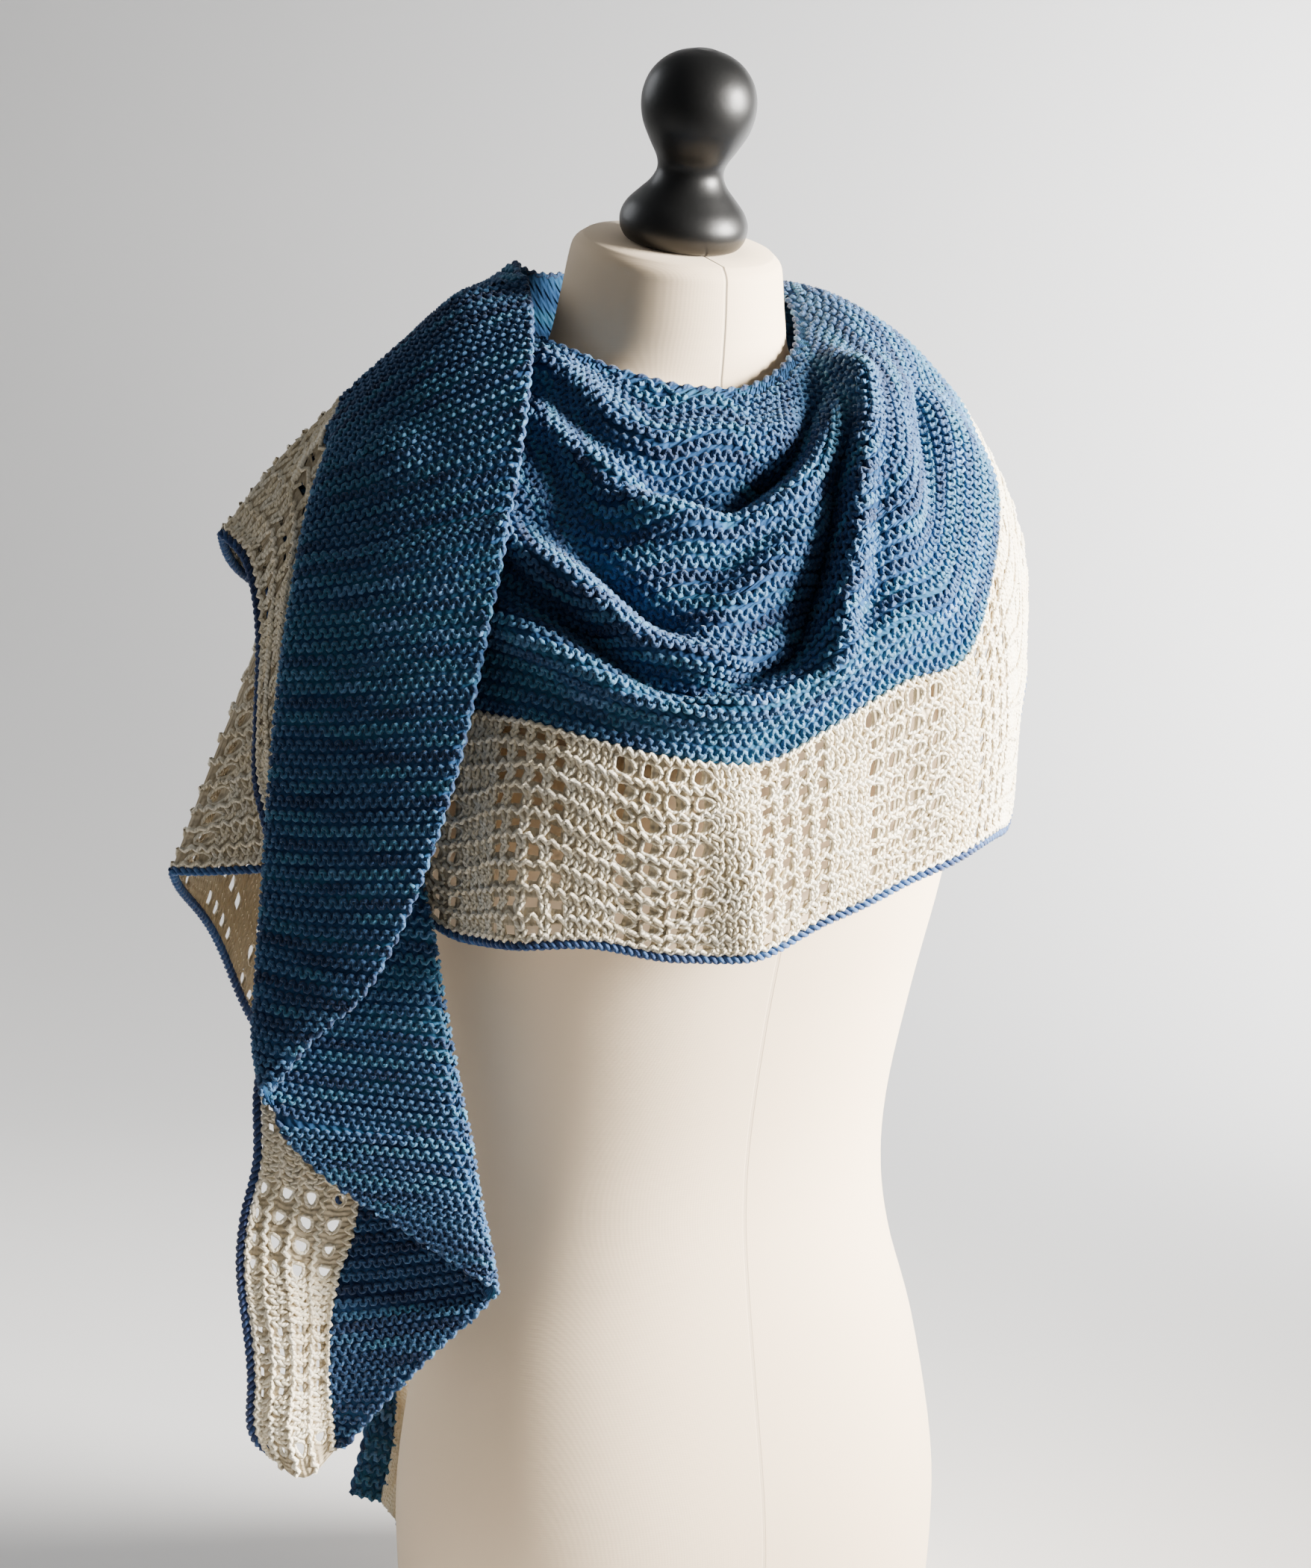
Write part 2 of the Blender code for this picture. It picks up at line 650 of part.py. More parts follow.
def wall(name, grid, side, thickness, key, holes=None, brim=None, mirrored=False):
    """A closed wall on a grid of points and their unit normals, with the cells named cut through.

    A brim takes the place of the grid's top edge: its stations, those of the grid, its points and
    its normals.  It may have more points than the grid has rows.  The first edge of a mirrored
    wall is split the other way, to lie along a neighbour that faces the other way.
    """
    rows, columns = grid.shape[:2]
    index = np.arange(rows * columns).reshape(rows, columns)
    points, sides = grid.reshape(-1, 3), side.reshape(-1, 3)
    first = 0
    top = index[:, 0]
    if brim is not None:
        brim_points, brim_sides = brim
        first = 1
        top = np.arange(len(brim_points)) + rows * columns
        points = np.concatenate([points, brim_points])
        sides = np.concatenate([sides, brim_sides])
    sheet = []
    edges = []
    for i in range(rows - 1):
        for j in range(first, columns - 1):
            a, b, c, d = index[i, j], index[i, j + 1], index[i + 1, j + 1], index[i + 1, j]
            if holes is not None and holes[i, j]:
                edges += [(b, a), (c, b), (d, c), (a, d)]
                continue
            sheet += [(a, b, c), (a, c, d)]
    if brim is not None:
        i = k = 0
        below = index[:, 1]
        while i < rows - 1 or k < len(top) - 1:
            along_top = along_low = np.inf
            if k < len(top) - 1:
                along_top = np.linalg.norm(points[top[k + 1]] - points[below[i]])
            if i < rows - 1:
                along_low = np.linalg.norm(points[below[i + 1]] - points[top[k]])
            if along_top <= along_low:
                sheet.append((top[k], below[i], top[k + 1]))
                k += 1
            else:
                sheet.append((top[k], below[i], below[i + 1]))
                i += 1
        edges += [(top[0], index[0, 1]), (index[-1, 1], top[-1])]
    crossed = []
    for j in range(first, columns - 1):
        (edges if mirrored else crossed).append((index[0, j], index[0, j + 1]))
        edges.append((index[-1, j + 1], index[-1, j]))
    for k in range(len(top) - 1):
        crossed.append((top[k + 1], top[k]))
    for i in range(rows - 1):
        edges.append((index[i, -1], index[i + 1, -1]))
    used = np.unique(np.array(sheet).reshape(-1))
    under = len(used)
    place = {int(v): k for k, v in enumerate(used)}
    half = sides[used] * thickness / 2
    body = np.concatenate([points[used] + half, points[used] - half])
    faces = []
    for a, b, c in sheet:
        a, b, c = place[int(a)], place[int(b)], place[int(c)]
        faces.append((a, b, c))
        faces.append((a + under, c + under, b + under))
    for a, b in edges:
        a, b = place[int(a)], place[int(b)]
        faces.append((b, a, a + under))
        faces.append((b, a + under, b + under))
    for a, b in crossed:
        a, b = place[int(a)], place[int(b)]
        faces.append((b, a, b + under))
        faces.append((a, a + under, b + under))
    return make_object(name, body, faces, key)


class Edge:
    """One edge of a laid piece: its places, points and normals."""

    def __init__(self, place, points, side):
        order = np.argsort(place)
        self.mirrored = False
        self.place = np.asarray(place, float)[order]
        self.points = points[order]
        self.side = side[order]

    def at(self, places):
        """Points and normals at the places, and which of them the edge reaches."""
        def read(values):
            return np.stack([np.interp(places, self.place, values[:, k]) for k in range(3)], -1)
        known = (places > self.place[0] - 1e-6) & (places < self.place[-1] + 1e-6)
        return read(self.points), unit(read(self.side)), known

    def turned(self):
        """The same edge for a neighbour whose surface faces the other way."""
        other = Edge(self.place, self.points, -self.side)
        other.mirrored = True
        return other

    def until(self, place):
        """The edge up to a place."""
        keep = self.place < place - 0.2
        return Edge(self.place[keep], self.points[keep], self.side[keep])

    def with_more(self, other):
        """This edge and another that follows it."""
        return Edge(np.concatenate([self.place, other.place]),
                    np.concatenate([self.points, other.points]),
                    np.concatenate([self.side, other.side]))

    def bulge(self, places, toward):
        """How far the edge stands out past straight lines between the places."""
        straight, upright, _ = self.at(places)
        more = np.zeros(len(places))
        for place, point, side in zip(self.place, self.points, self.side):
            k = int(np.clip(np.searchsorted(places, place) - 1, 0, len(places) - 2))
            t = (place - places[k]) / (places[k + 1] - places[k])
            if t < 0 or t > 1:
                continue
            gap = point - straight[k] * (1 - t) - straight[k + 1] * t
            lean = (side - unit(upright[k] * (1 - t) + upright[k + 1] * t)) * GARTER_THICK / 2
            for ahead in (toward[k], toward[k + 1]):
                stand = gap @ ahead + abs(lean @ ahead)
                more[k:k + 2] = np.maximum(more[k:k + 2], stand)
        return more * 1.25


def meet(grid, along, down, first, top):
    """The grid with its first and top edges brought onto its neighbours' edges."""
    grid = grid.copy()
    if first is not None:
        target, _, _ = first.at(down)
        shift = target - grid[0]
        for k in range(min(5, len(grid) - 1)):
            grid[k] += shift * (1 - k / 5) ** 2
    if top is not None:
        target, _, known = top.at(along)
        shift = (target - grid[:, 0]) * known[:, None]
        for k in range(min(4, grid.shape[1] - 1)):
            grid[:, k] += shift * (1 - k / 4) ** 2
    return grid


def lay(name, grid, keep, along, down, thickness, key, ends, first=None, top=None, holes=None,
        zipped=False):
    """Builds one piece clear of what it lies on, and gives back its edges for its neighbours."""
    grid = keep(meet(keep(grid), along, down, first, top))
    grid = meet(grid, along, down, first, top)
    side = normals(grid)
    side[1:-1] = unit(2 * side[1:-1] + side[:-2] + side[2:])
    if top is not None:
        _, given, known = top.at(along)
        side[known, 0] = given[known]
    if first is not None:
        side[0] = first.at(down)[1]
    if first is None and top is not None:
        side[0, 1:-1] = side[0, :1]
    edges = {
        "first": Edge(down, grid[0], side[0]),
        "last": Edge(down, grid[-1], side[-1]),
        "bottom": Edge(along, grid[:, -1], side[:, -1]),
    }
    cut = draw_in(grid, ends, SEAM_GAP / 2)
    brim = None
    if zipped:
        inside = (top.place > along[0] + 1e-4) & (top.place < along[-1] - 1e-4)
        places = np.concatenate([along[:1], top.place[inside], along[-1:]])
        points, sides, _ = top.at(places)
        below = np.stack([np.interp(places, along, grid[:, 1, k]) for k in range(3)], -1)
        points = points + inward(points, below) * SEAM_GAP / 2
        for end, word in ((0, "first"), (-1, "last")):
            if word in ends:
                points[end] = cut[end, 0]
        brim = (points, sides)
    if first is not None:
        toward = inward(grid[0], grid[1])
        cut[0] += toward * (first.bulge(down, toward) + SEAM_GAP * first.mirrored)[:, None]
    wall(name, cut, side, thickness, key, holes, brim, first is not None and first.mirrored)
    return grid, edges


def join_cords(cores, hems, joints):
    """Lets the ends of cords meet face to face, and gives back the headings of their ends."""
    headings = {name: {} for name in cores}
    for one, one_end, other, other_end in joints:
        a, b = cores[one], cores[other]
        corner = hems[one][one_end]
        a_next = a[1] if one_end == 0 else a[-2]
        b_next = b[1] if other_end == 0 else b[-2]
        a_hem = hems[one][1 if one_end == 0 else -2]
        b_hem = hems[other][1 if other_end == 0 else -2]
        middle = (a[one_end] + b[other_end]) / 2 - corner
        reach = CORD_GAP + CORD_RADIUS + CORNER_CLEAR
        back = unit(a_hem - corner) + unit(b_hem - corner)
        middle = corner + middle * min((reach / np.linalg.norm(middle)) ** 2, 2.5)
        middle = middle - back * CORNER_SWING
        heading = unit(unit(middle - a_next) - unit(middle - b_next))
        a[one_end] = middle - heading * SEAM_GAP / 2
        b[other_end] = middle + heading * SEAM_GAP / 2
        headings[one][one_end] = heading if one_end == -1 else -heading
        headings[other][other_end] = heading if other_end == 0 else -heading
    return headings


def cord(name, line, radius, key, headings, sides=6):
    """A closed round cord along a line of points."""
    line = np.asarray(line, float)
    forward = headings_of(line)
    for end, heading in headings.items():
        forward[end] = heading
    across = np.cross(forward[0], [0.0, 0.0, 1.0])
    if np.linalg.norm(across) < 0.2:
        across = np.cross(forward[0], [0.0, 1.0, 0.0])
    across = across / np.linalg.norm(across)
    points = []
    for place, ahead in zip(line, forward):
        across = across - ahead * (across @ ahead)
        across = across / np.linalg.norm(across)
        other = np.cross(ahead, across)
        for k in range(sides):
            turn = 2 * math.pi * k / sides
            points.append(place + radius * (math.cos(turn) * across + math.sin(turn) * other))
    faces = []
    for i in range(len(line) - 1):
        for k in range(sides):
            a, b = i * sides + k, i * sides + (k + 1) % sides
            faces.append((a, b, b + sides))
            faces.append((a, b + sides, a + sides))
    faces.append(tuple(range(sides - 1, -1, -1)))
    last = (len(line) - 1) * sides
    faces.append(tuple(last + k for k in range(sides)))
    return make_object(name, points, faces, key)


def rings_body(name, rings, key):
    """A closed body through rings of points, its end rings capped by fans."""
    count = len(rings[0])
    points = [p for ring in rings for p in ring]
    faces = []
    for i in range(len(rings) - 1):
        for k in range(count):
            a, b = i * count + k, i * count + (k + 1) % count
            faces.append((a, b, b + count))
            faces.append((a, b + count, a + count))
    low, high = len(points), len(points) + 1
    points.append(np.mean(rings[0], axis=0))
    points.append(np.mean(rings[-1], axis=0))
    last = (len(rings) - 1) * count
    for k in range(count):
        faces.append((low, (k + 1) % count, k))
        faces.append((high, last + k, last + (k + 1) % count))
    return make_object(name, points, faces, key), points, faces


# Form

def form_rings(levels, count):
    """Rings of the dress form, bottom to top."""
    table = np.asarray(FORM_RINGS, float)
    order = np.column_stack([np.arange(len(table)), table])
    rows = through(order, np.linspace(0, len(table) - 1, levels))
    rings = []
    for height, half, front, back, moved, power, tilt in rows:
        ring = []
        for k in range(count):
            turn = 2 * math.pi * k / count
            s, c = math.sin(turn), -math.cos(turn)
            x = half * math.copysign(abs(s) ** (2 / power), s)
            reach = front if c < 0 else back
            y = reach * math.copysign(abs(c) ** (2 / power), c)
            z = height + y * math.tan(math.radians(tilt))
            ring.append(np.array([x, y + moved, z]))
        rings.append(ring)
    return rings


def knob_rings(count):
    """Rings of the turned knob, foot to crown."""
    tilt = math.radians(KNOB_TILT)
    axis = np.array([0.0, -math.sin(tilt), math.cos(tilt)])
    side = np.array([1.0, 0.0, 0.0])
    other = np.cross(axis, side)
    foot = np.array([0.0, -KNOB_FOOT_FORWARD, KNOB_FOOT_HEIGHT])
    rings = []
    for along, radius in KNOB_PROFILE:
        ring = []
        for k in range(count):
            turn = 2 * math.pi * k / count
            ring.append(foot + axis * along
                        + radius * (math.cos(turn) * side + math.sin(turn) * other))
        rings.append(ring)
    return rings


# Cloth surfaces

def scallop(places):
    """How far the hem drops at places along the border."""
    return SCALLOP_DROP * 0.5 * np.cos(2 * np.pi * np.asarray(places) / REPEAT_LENGTH)


def wrap_sections(stations):
    """Fine section curves of the cloth round the body at the turns given, with knot indices."""
    rows = through(WRAP, stations)
    turn = np.asarray(stations, float)[:, None]
    knots = around(turn, rows[:, 0::2], rows[:, 1::2])
    return curve_through(knots)


def folded_wrap(grid, stations, calm):
    """The wrapped cloth with its folds, calmed by the shares given along its depth."""
    out = normals(grid)
    turn = np.broadcast_to(np.asarray(stations, float)[:, None], grid.shape[:2])
    low, in_full, out_full, high = CHEST_FOLD_TURNS
    front = smooth_step(turn, low, in_full) * (1 - smooth_step(turn, out_full, high))
    depth = fold_depth(grid, CHEST_FOLDS) * front
    depth += back_fold_depth(turn, grid[..., 2]) * smooth_step(turn, 84, 104) \
        * (1 - smooth_step(turn, 244, 256))
    return grid + out * (depth * calm)[..., None]


def tail_sections(stations):
    """Fine section curves of the wing that hangs behind."""
    rows = through(TAIL, stations)
    rails = [around(rows[:, k], rows[:, k + 1], rows[:, k + 2]) for k in (0, 3, 6)]
    first = wrap_sections([WRAP_START])[0][0]
    fine = 24
    share = np.asarray(stations, float)[:, None, None]
    fade = 1 - smooth_step(share, 0, 2.5)
    neck, line, hem = rails
    knots = []
    for t in (0.0, 0.33, 0.66):
        knots.append(neck + (line - neck) * t)
    knots.append(line)
    knots.append((line + hem) / 2)
    knots.append(hem)
    knots = np.stack(knots, axis=1)
    base = np.stack([first[k * fine] for k in range(6)])
    straight = np.stack([knots[0][k] for k in range(6)])
    knots = knots + (base - straight)[None] * fade
    return curve_through(knots)


def fall_knots(station):
    """Knots of one section of the falling wing, with the names of the places they mark."""
    def rail(table):
        row = through(table, [station])[0]
        return seen(row[0], row[1], row[2])

    line, hem = rail(FALL_LACE_LINE), rail(FALL_HEM)
    knots, names = [], []
    if station <= 9:
        edge, fold = rail(FALL_NECK_EDGE), rail(FALL_LEFT_FOLD)
        toward = sight_axes()[1]
        swell = toward * 9.0 * float(smooth_step(station, 0, 1.5)) * (1 - 0.5 * station / 9)
        lift = np.array([0.0, 0.0, 14.0]) * (1 - float(smooth_step(station, 0, 1.6)))
        knots += [edge, edge + (fold - edge) * 0.33 + swell * 0.8 + lift,
                  edge + (fold - edge) * 0.68 + swell + lift]
        names += ["edge", "", ""]
        if station >= 3:
            knots += [fold, rail(FALL_LEFT_TUCK)]
            names += ["", "left"]
        elif station > 0:
            knots += [fold]
            names += [""]
    if 3 <= station <= 12:
        if station > 9:
            knots.append(rail(FALL_SECOND_EDGE))
            names.append("left")
        knots += [rail(FALL_RIGHT_FOLD), rail(FALL_RIGHT_TUCK)]
        names += ["", "right"]
    if station > 12:
        knots.append(rail(FALL_THIRD_EDGE))
        names.append("right")
    knots += [line, (line + hem) / 2 + sight_axes()[1] * 5.0, hem]
    names += ["line", "", "hem"]
    return knots, names


def fall_grid(stations, start, finish, shares):
    """A grid on the falling wing between two named places of its sections."""
    rows = []
    for station in stations:
        knots, names = fall_knots(float(station))
        fine, marks = curve_through(np.array(knots)[None])
        first, last = marks[names.index(start)], marks[names.index(finish)]
        rows.append(share_out(fine, first, last, shares)[0])
    return np.array(rows)


# Lace

def lace_columns(length, offset, extra):
    """Places of the columns along the lace, and which of the gaps between them hold eyelets."""
    edges, pierced = [0.0], []
    half = EYELET_PITCH * (EYELETS_PER_REPEAT - 1) / 2 + EYELET_WIDTH / 2
    middle = offset % REPEAT_LENGTH - REPEAT_LENGTH
    while middle - half < length:
        start = middle - half
        if start > edges[-1] + 2.0:
            for k in range(PLAIN_COLUMNS):
                edges.append(edges[-1] + (start - edges[-1]) / (PLAIN_COLUMNS - k))
                pierced.append(False)
        for k in range(EYELETS_PER_REPEAT):
            low = start + EYELET_PITCH * k
            high = low + EYELET_WIDTH
            if low > edges[-1] + 1.0 and low < length - 1.5:
                edges.append(low)
                pierced.append(False)
            if high < length - 2.5 and low >= edges[-1] - 0.01:
                edges.append(high)
                pierced.append(True)
        middle += REPEAT_LENGTH
    while edges[-1] > length - 1.0:
        edges.pop()
        pierced.pop()
    if length - edges[-1] > 30:
        edges.append((edges[-1] + length) / 2)
        pierced.append(False)
    edges.append(length)
    pierced.append(False)
    for place in extra:
        k = int(np.searchsorted(edges, place))
        if 0 < k < len(edges) and not pierced[k - 1] \
                and place - edges[k - 1] > 5 and edges[k] - place > 5:
            edges.insert(k, place)
            pierced.insert(k - 1, False)
    return np.array(edges), pierced


def lace_rows(rows):
    """Shares of the lace's depth at its rows, and which of the gaps between hold eyelets."""
    solid = 1.0
    depth = 120.0
    plain = (depth - rows * EYELET_HEIGHT) / rows
    edges, pierced = [0.0], []
    for k in range(rows):
        edges.append(edges[-1] + plain * (0.62 if k == 0 else solid))
        pierced.append(False)
        edges.append(edges[-1] + EYELET_HEIGHT)
        pierced.append(True)
    edges.append(depth)
    pierced.append(False)
    return np.array(edges) / depth, pierced


def lace_wall(name, build, first, last, offset, rows, keep, ends, line, before, extra=()):
    """One stretch of the lace border between two stations of its surface, with its cord."""
    survey = np.linspace(first, last, 80)
    middle = build(survey, np.array([0.0, 0.6, 1.0]))[:, 1]
    step = np.linalg.norm(np.diff(middle, axis=0), axis=-1)
    run = np.concatenate([[0.0], np.cumsum(step)])
    places, across_holes = lace_columns(run[-1], offset, extra)
    stations = np.interp(places, run, survey)
    shares, down_holes = lace_rows(rows)
    grid = build(stations, shares)
    drop = scallop(places - offset) - CORD_GAP - 2 * CORD_RADIUS
    hang = unit(grid[:, -1] - grid[:, -2])
    grid = grid + hang[:, None, :] * (drop[:, None] * shares[None] ** 2)[..., None]
    holes = np.outer(across_holes, down_holes)
    grid, edges = lay(name, grid, keep, stations, shares, LACE_THICK, "lace", "top " + ends,
                      before, line, holes, True)
    hem = grid[:, -1]
    out = -inward(hem, grid[:, -2])
    ahead = unit(np.diff(hem, axis=0))
    bend = np.ones(len(hem))
    bend[1:-1] = np.sqrt((1 + np.clip(np.sum(ahead[1:] * ahead[:-1], axis=-1), -0.2, 1)) / 2)
    edges["core"] = hem + out * ((CORD_GAP + CORD_RADIUS) / bend)[:, None]
    edges["hem"] = hem
    return edges, run[-1], int(holes.sum())


# The object

def clear_scene():
    """Removes what a new file starts with."""
    for thing in list(bpy.data.objects):
        bpy.data.objects.remove(thing, do_unlink=True)


def build_all():
    """Every piece of the object."""
    _, form_points, form_faces = rings_body("form_body", form_rings(25, 26), "cover")
    rings_body("form_knob", knob_rings(18), "knob")
    body = Body(form_points, form_faces)
    garter_margin = GARTER_THICK / 2 + AIR_OVER_FORM
    lace_margin = LACE_THICK / 2 + AIR_OVER_FORM

    def wrap_grid(stations, first, last, shares):
        fine, marks = wrap_sections(stations)
        calm = 1 - smooth_step(shares, 0.86, 1.0)
        if first == 3:
            calm = smooth_step(shares, 0.0, 0.3)
        return folded_wrap(share_out(fine, marks[first], marks[last], shares), stations, calm)

    def tail_grid(stations, first, last, shares):
        fine, marks = tail_sections(stations)
        return share_out(fine, marks[first], marks[last], shares)

    def garter_on_form(grid):
        return settle(grid, lambda g: body.keep_out(g, garter_margin))

    def lace_on_form(grid):
        return settle(grid, lambda g: body.keep_out(g, lace_margin))

    # Chest
    turns = np.concatenate([
        np.linspace(WRAP_START, -60, 7)[:-1], np.linspace(-60, 58, 30)[:-1],
        np.linspace(58, WRAP_MEET, 6)])
    shares = np.linspace(0, 1, 23)
    _, chest = lay("front_garter", wrap_grid(turns, 0, 3, shares), garter_on_form, turns, shares,
                   GARTER_THICK, "garter", "first last bottom")
    chest_lace, length, cut_front = lace_wall(
        "front_lace", lambda s, v: wrap_grid(s, 3, 5, v), WRAP_START, WRAP_MEET, FIRST_EYELETS, 4,
        lace_on_form, "first last", chest["bottom"], None)

    # Wing hanging behind
    stations = np.linspace(0, TAIL_END, 25)
    shares = np.linspace(0, 1, 7)
    _, tail = lay("tail_garter", tail_grid(stations, 0, 3, shares), garter_on_form, stations, shares,
                  GARTER_THICK, "garter", "first bottom", chest["first"].turned())
    tail_lace, _, cut_tail = lace_wall(
        "tail_lace", lambda s, v: tail_grid(s, 3, 5, v), 0.0, TAIL_END, -FIRST_EYELETS, 3,
        lace_on_form, "first", tail["bottom"], chest_lace["first"].turned(),
        tuple(range(12, 600, 24)))

    # What the crossing wing lies on: the chest's right side and the start of the wing behind
    apart = GARTER_THICK + AIR_BETWEEN_LAYERS
    whole = np.linspace(0, 1, 24)
    stations = np.linspace(WRAP_START, -20.0, 34)
    near = garter_on_form(np.concatenate([
        wrap_grid(stations, 0, 3, whole), wrap_grid(stations, 3, 5, whole)[:, 1:]], axis=1))
    hanging = garter_on_form(tail_grid(np.linspace(0, TAIL_END, 40), 0, 5, whole))
    under = [Layer(hanging[::-1], apart), Layer(near, apart)]

    def over(grid, margin):
        def push(places):
            for layer in under:
                places = layer.keep_out(places)
            return body.keep_out(places, margin)
        return settle(grid, push)

    def garter_over(grid):
        return over(grid, garter_margin)

    # Back
    turns = np.linspace(WRAP_MEET, WRAP_END, 30)
    shares = np.linspace(0, 1, 11)
    _, back = lay("back_garter", wrap_grid(turns, 0, 3, shares), garter_over, turns, shares,
                  GARTER_THICK, "garter", "first last bottom", chest["last"])
    phase = FIRST_EYELETS - length
    back_lace, length, cut_back = lace_wall(
        "back_lace", lambda s, v: wrap_grid(s, 3, 5, v), WRAP_MEET, WRAP_END, phase, 3,
        lambda g: over(g, lace_margin), "first last", back["bottom"], chest_lace["last"])

    # Falling wing
    stations = np.concatenate([np.linspace(0, 2.999, 7)[:-1], np.linspace(3.0, 9.0, 12)])
    shares = np.linspace(0, 1, 10)
    panel = np.concatenate([
        fall_grid(stations[:6], "edge", "line", shares),
        fall_grid(stations[6:], "edge", "left", shares)])
    _, panel = lay("fall_panel", panel, garter_over, stations, shares,
                   GARTER_THICK, "garter", "first bottom", back["last"])
    stations = np.concatenate([np.linspace(3.0, 9.0, 12), np.linspace(9.6, 12.0, 5)])
    shares = np.linspace(0, 1, 8)
    flare = fall_grid(stations, "left", "right", shares)
    _, flare = lay("fall_flare", flare, garter_over, stations, shares,
                   GARTER_THICK, "garter", "first top bottom", None, panel["bottom"])
    stations = np.concatenate([stations, np.linspace(12.6, 15.0, 5)])
    shares = np.linspace(0, 1, 6)
    end = fall_grid(stations, "right", "line", shares)
    _, end = lay("fall_end", end, garter_over, stations, shares,
                 GARTER_THICK, "garter", "first top bottom", None, flare["bottom"])
    phase = phase - length
    fall_lace, _, cut_fall = lace_wall(
        "fall_lace", lambda s, v: fall_grid(s, "line", "hem", v), 0.0, FALL_END, phase, 3,
        lambda g: over(g, lace_margin), "first", panel["bottom"].until(3.0).with_more(end["bottom"]),
        back_lace["last"], (9, 19, 30, 42, 54))

    # Bind-off cord
    cores = {
        "front_edging": chest_lace["core"],
        "tail_edging": tail_lace["core"],
        "back_edging": back_lace["core"],
        "fall_edging": fall_lace["core"],
    }
    hems = {
        "front_edging": chest_lace["hem"],
        "tail_edging": tail_lace["hem"],
        "back_edging": back_lace["hem"],
        "fall_edging": fall_lace["hem"],
    }
    headings = join_cords(cores, hems, [
        ("front_edging", -1, "back_edging", 0),
        ("front_edging", 0, "tail_edging", 0),
        ("back_edging", -1, "fall_edging", 0),
    ])
    for name, core in cores.items():
        cord(name, core, CORD_RADIUS, "cord", headings[name])


clear_scene()
build_all()
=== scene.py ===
"""Looks of the hand-knitted crescent shawl on its dress form.

Each stretch of the shawl is a thin wall with its yarn laid on it stitch by stitch: snaking purl
ridges on the garter stitch, ridges, rings and slanting stitches round the openings of the lace,
and a two-ply bind-off along the hem.  Sizes are in millimetres unless a name says otherwise.
"""
import math

import bpy
import numpy as np
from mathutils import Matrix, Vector
from mathutils.bvhtree import BVHTree


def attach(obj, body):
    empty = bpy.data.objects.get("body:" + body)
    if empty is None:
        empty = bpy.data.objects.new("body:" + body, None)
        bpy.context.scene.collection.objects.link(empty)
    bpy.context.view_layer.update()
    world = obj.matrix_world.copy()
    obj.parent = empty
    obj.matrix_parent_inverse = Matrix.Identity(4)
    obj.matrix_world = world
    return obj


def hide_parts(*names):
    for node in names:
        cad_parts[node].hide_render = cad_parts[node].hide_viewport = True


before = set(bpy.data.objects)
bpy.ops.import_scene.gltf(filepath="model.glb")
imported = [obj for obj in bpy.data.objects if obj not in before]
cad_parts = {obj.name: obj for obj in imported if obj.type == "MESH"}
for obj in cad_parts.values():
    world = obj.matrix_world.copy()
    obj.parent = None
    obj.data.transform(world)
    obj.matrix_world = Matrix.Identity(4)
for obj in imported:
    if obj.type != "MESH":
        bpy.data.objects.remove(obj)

MM = 0.001

# Cloth
GARTER_THICK = 4.0
LACE_THICK = 2.4
CORD_RADIUS = 2.5
CORD_GAP = 0.6
AIR_OVER_FORM = 0.9
AIR_BETWEEN_LAYERS = 1.6
NARROWEST_FOLD = 5.5
FOLD_BOOST = 1.8
CREASE_POINT = 1.3
DEEPEST_UNDER = 30.0
FARTHEST_BESIDE = 10.0
FINE_STEPS = 24

# Share of the folds left where the lace begins, and what the lace takes up again
FOLDS_AT_LINE = 0.25
FOLDS_IN_LACE = 0.1

# Knots of a section at its neck edge, its lace line and its hem
NECK, LINE, HEM = 0, 3, 5

# Points along each stretch, down its garter and down its lace
CHEST_POINTS = (128, 84, 34)
TAIL_POINTS = (126, 34, 30)
BACK_POINTS = (96, 44, 32)

# Points down the panel, the flare, the end and the lace of the falling wing
FALL_POINTS = (34, 26, 18, 30)

# Lace pattern, measured along the border and down its depth
REPEAT_LENGTH = 137.0
EYELET_WIDTH = 9.8
EYELET_PITCH = 13.0
EYELETS_PER_REPEAT = 4
EYELET_HEIGHT = 7.6
SCALLOP_DROP = 7.0
FIRST_EYELETS = 128.0

# Turned knob
KNOB_TILT = 16.0
KNOB_FOOT_FORWARD = 14.0
KNOB_FOOT_HEIGHT = 764.2

# Sight line of the three-quarter view that the hanging folds are set out on
SIGHT_TURN = 27.0
SIGHT_BACK = 1500.0
SIGHT_HEIGHT = 700.0
SIGHT_AIM_HEIGHT = 480.0
SIGHT_AIM_ASIDE = -6.8

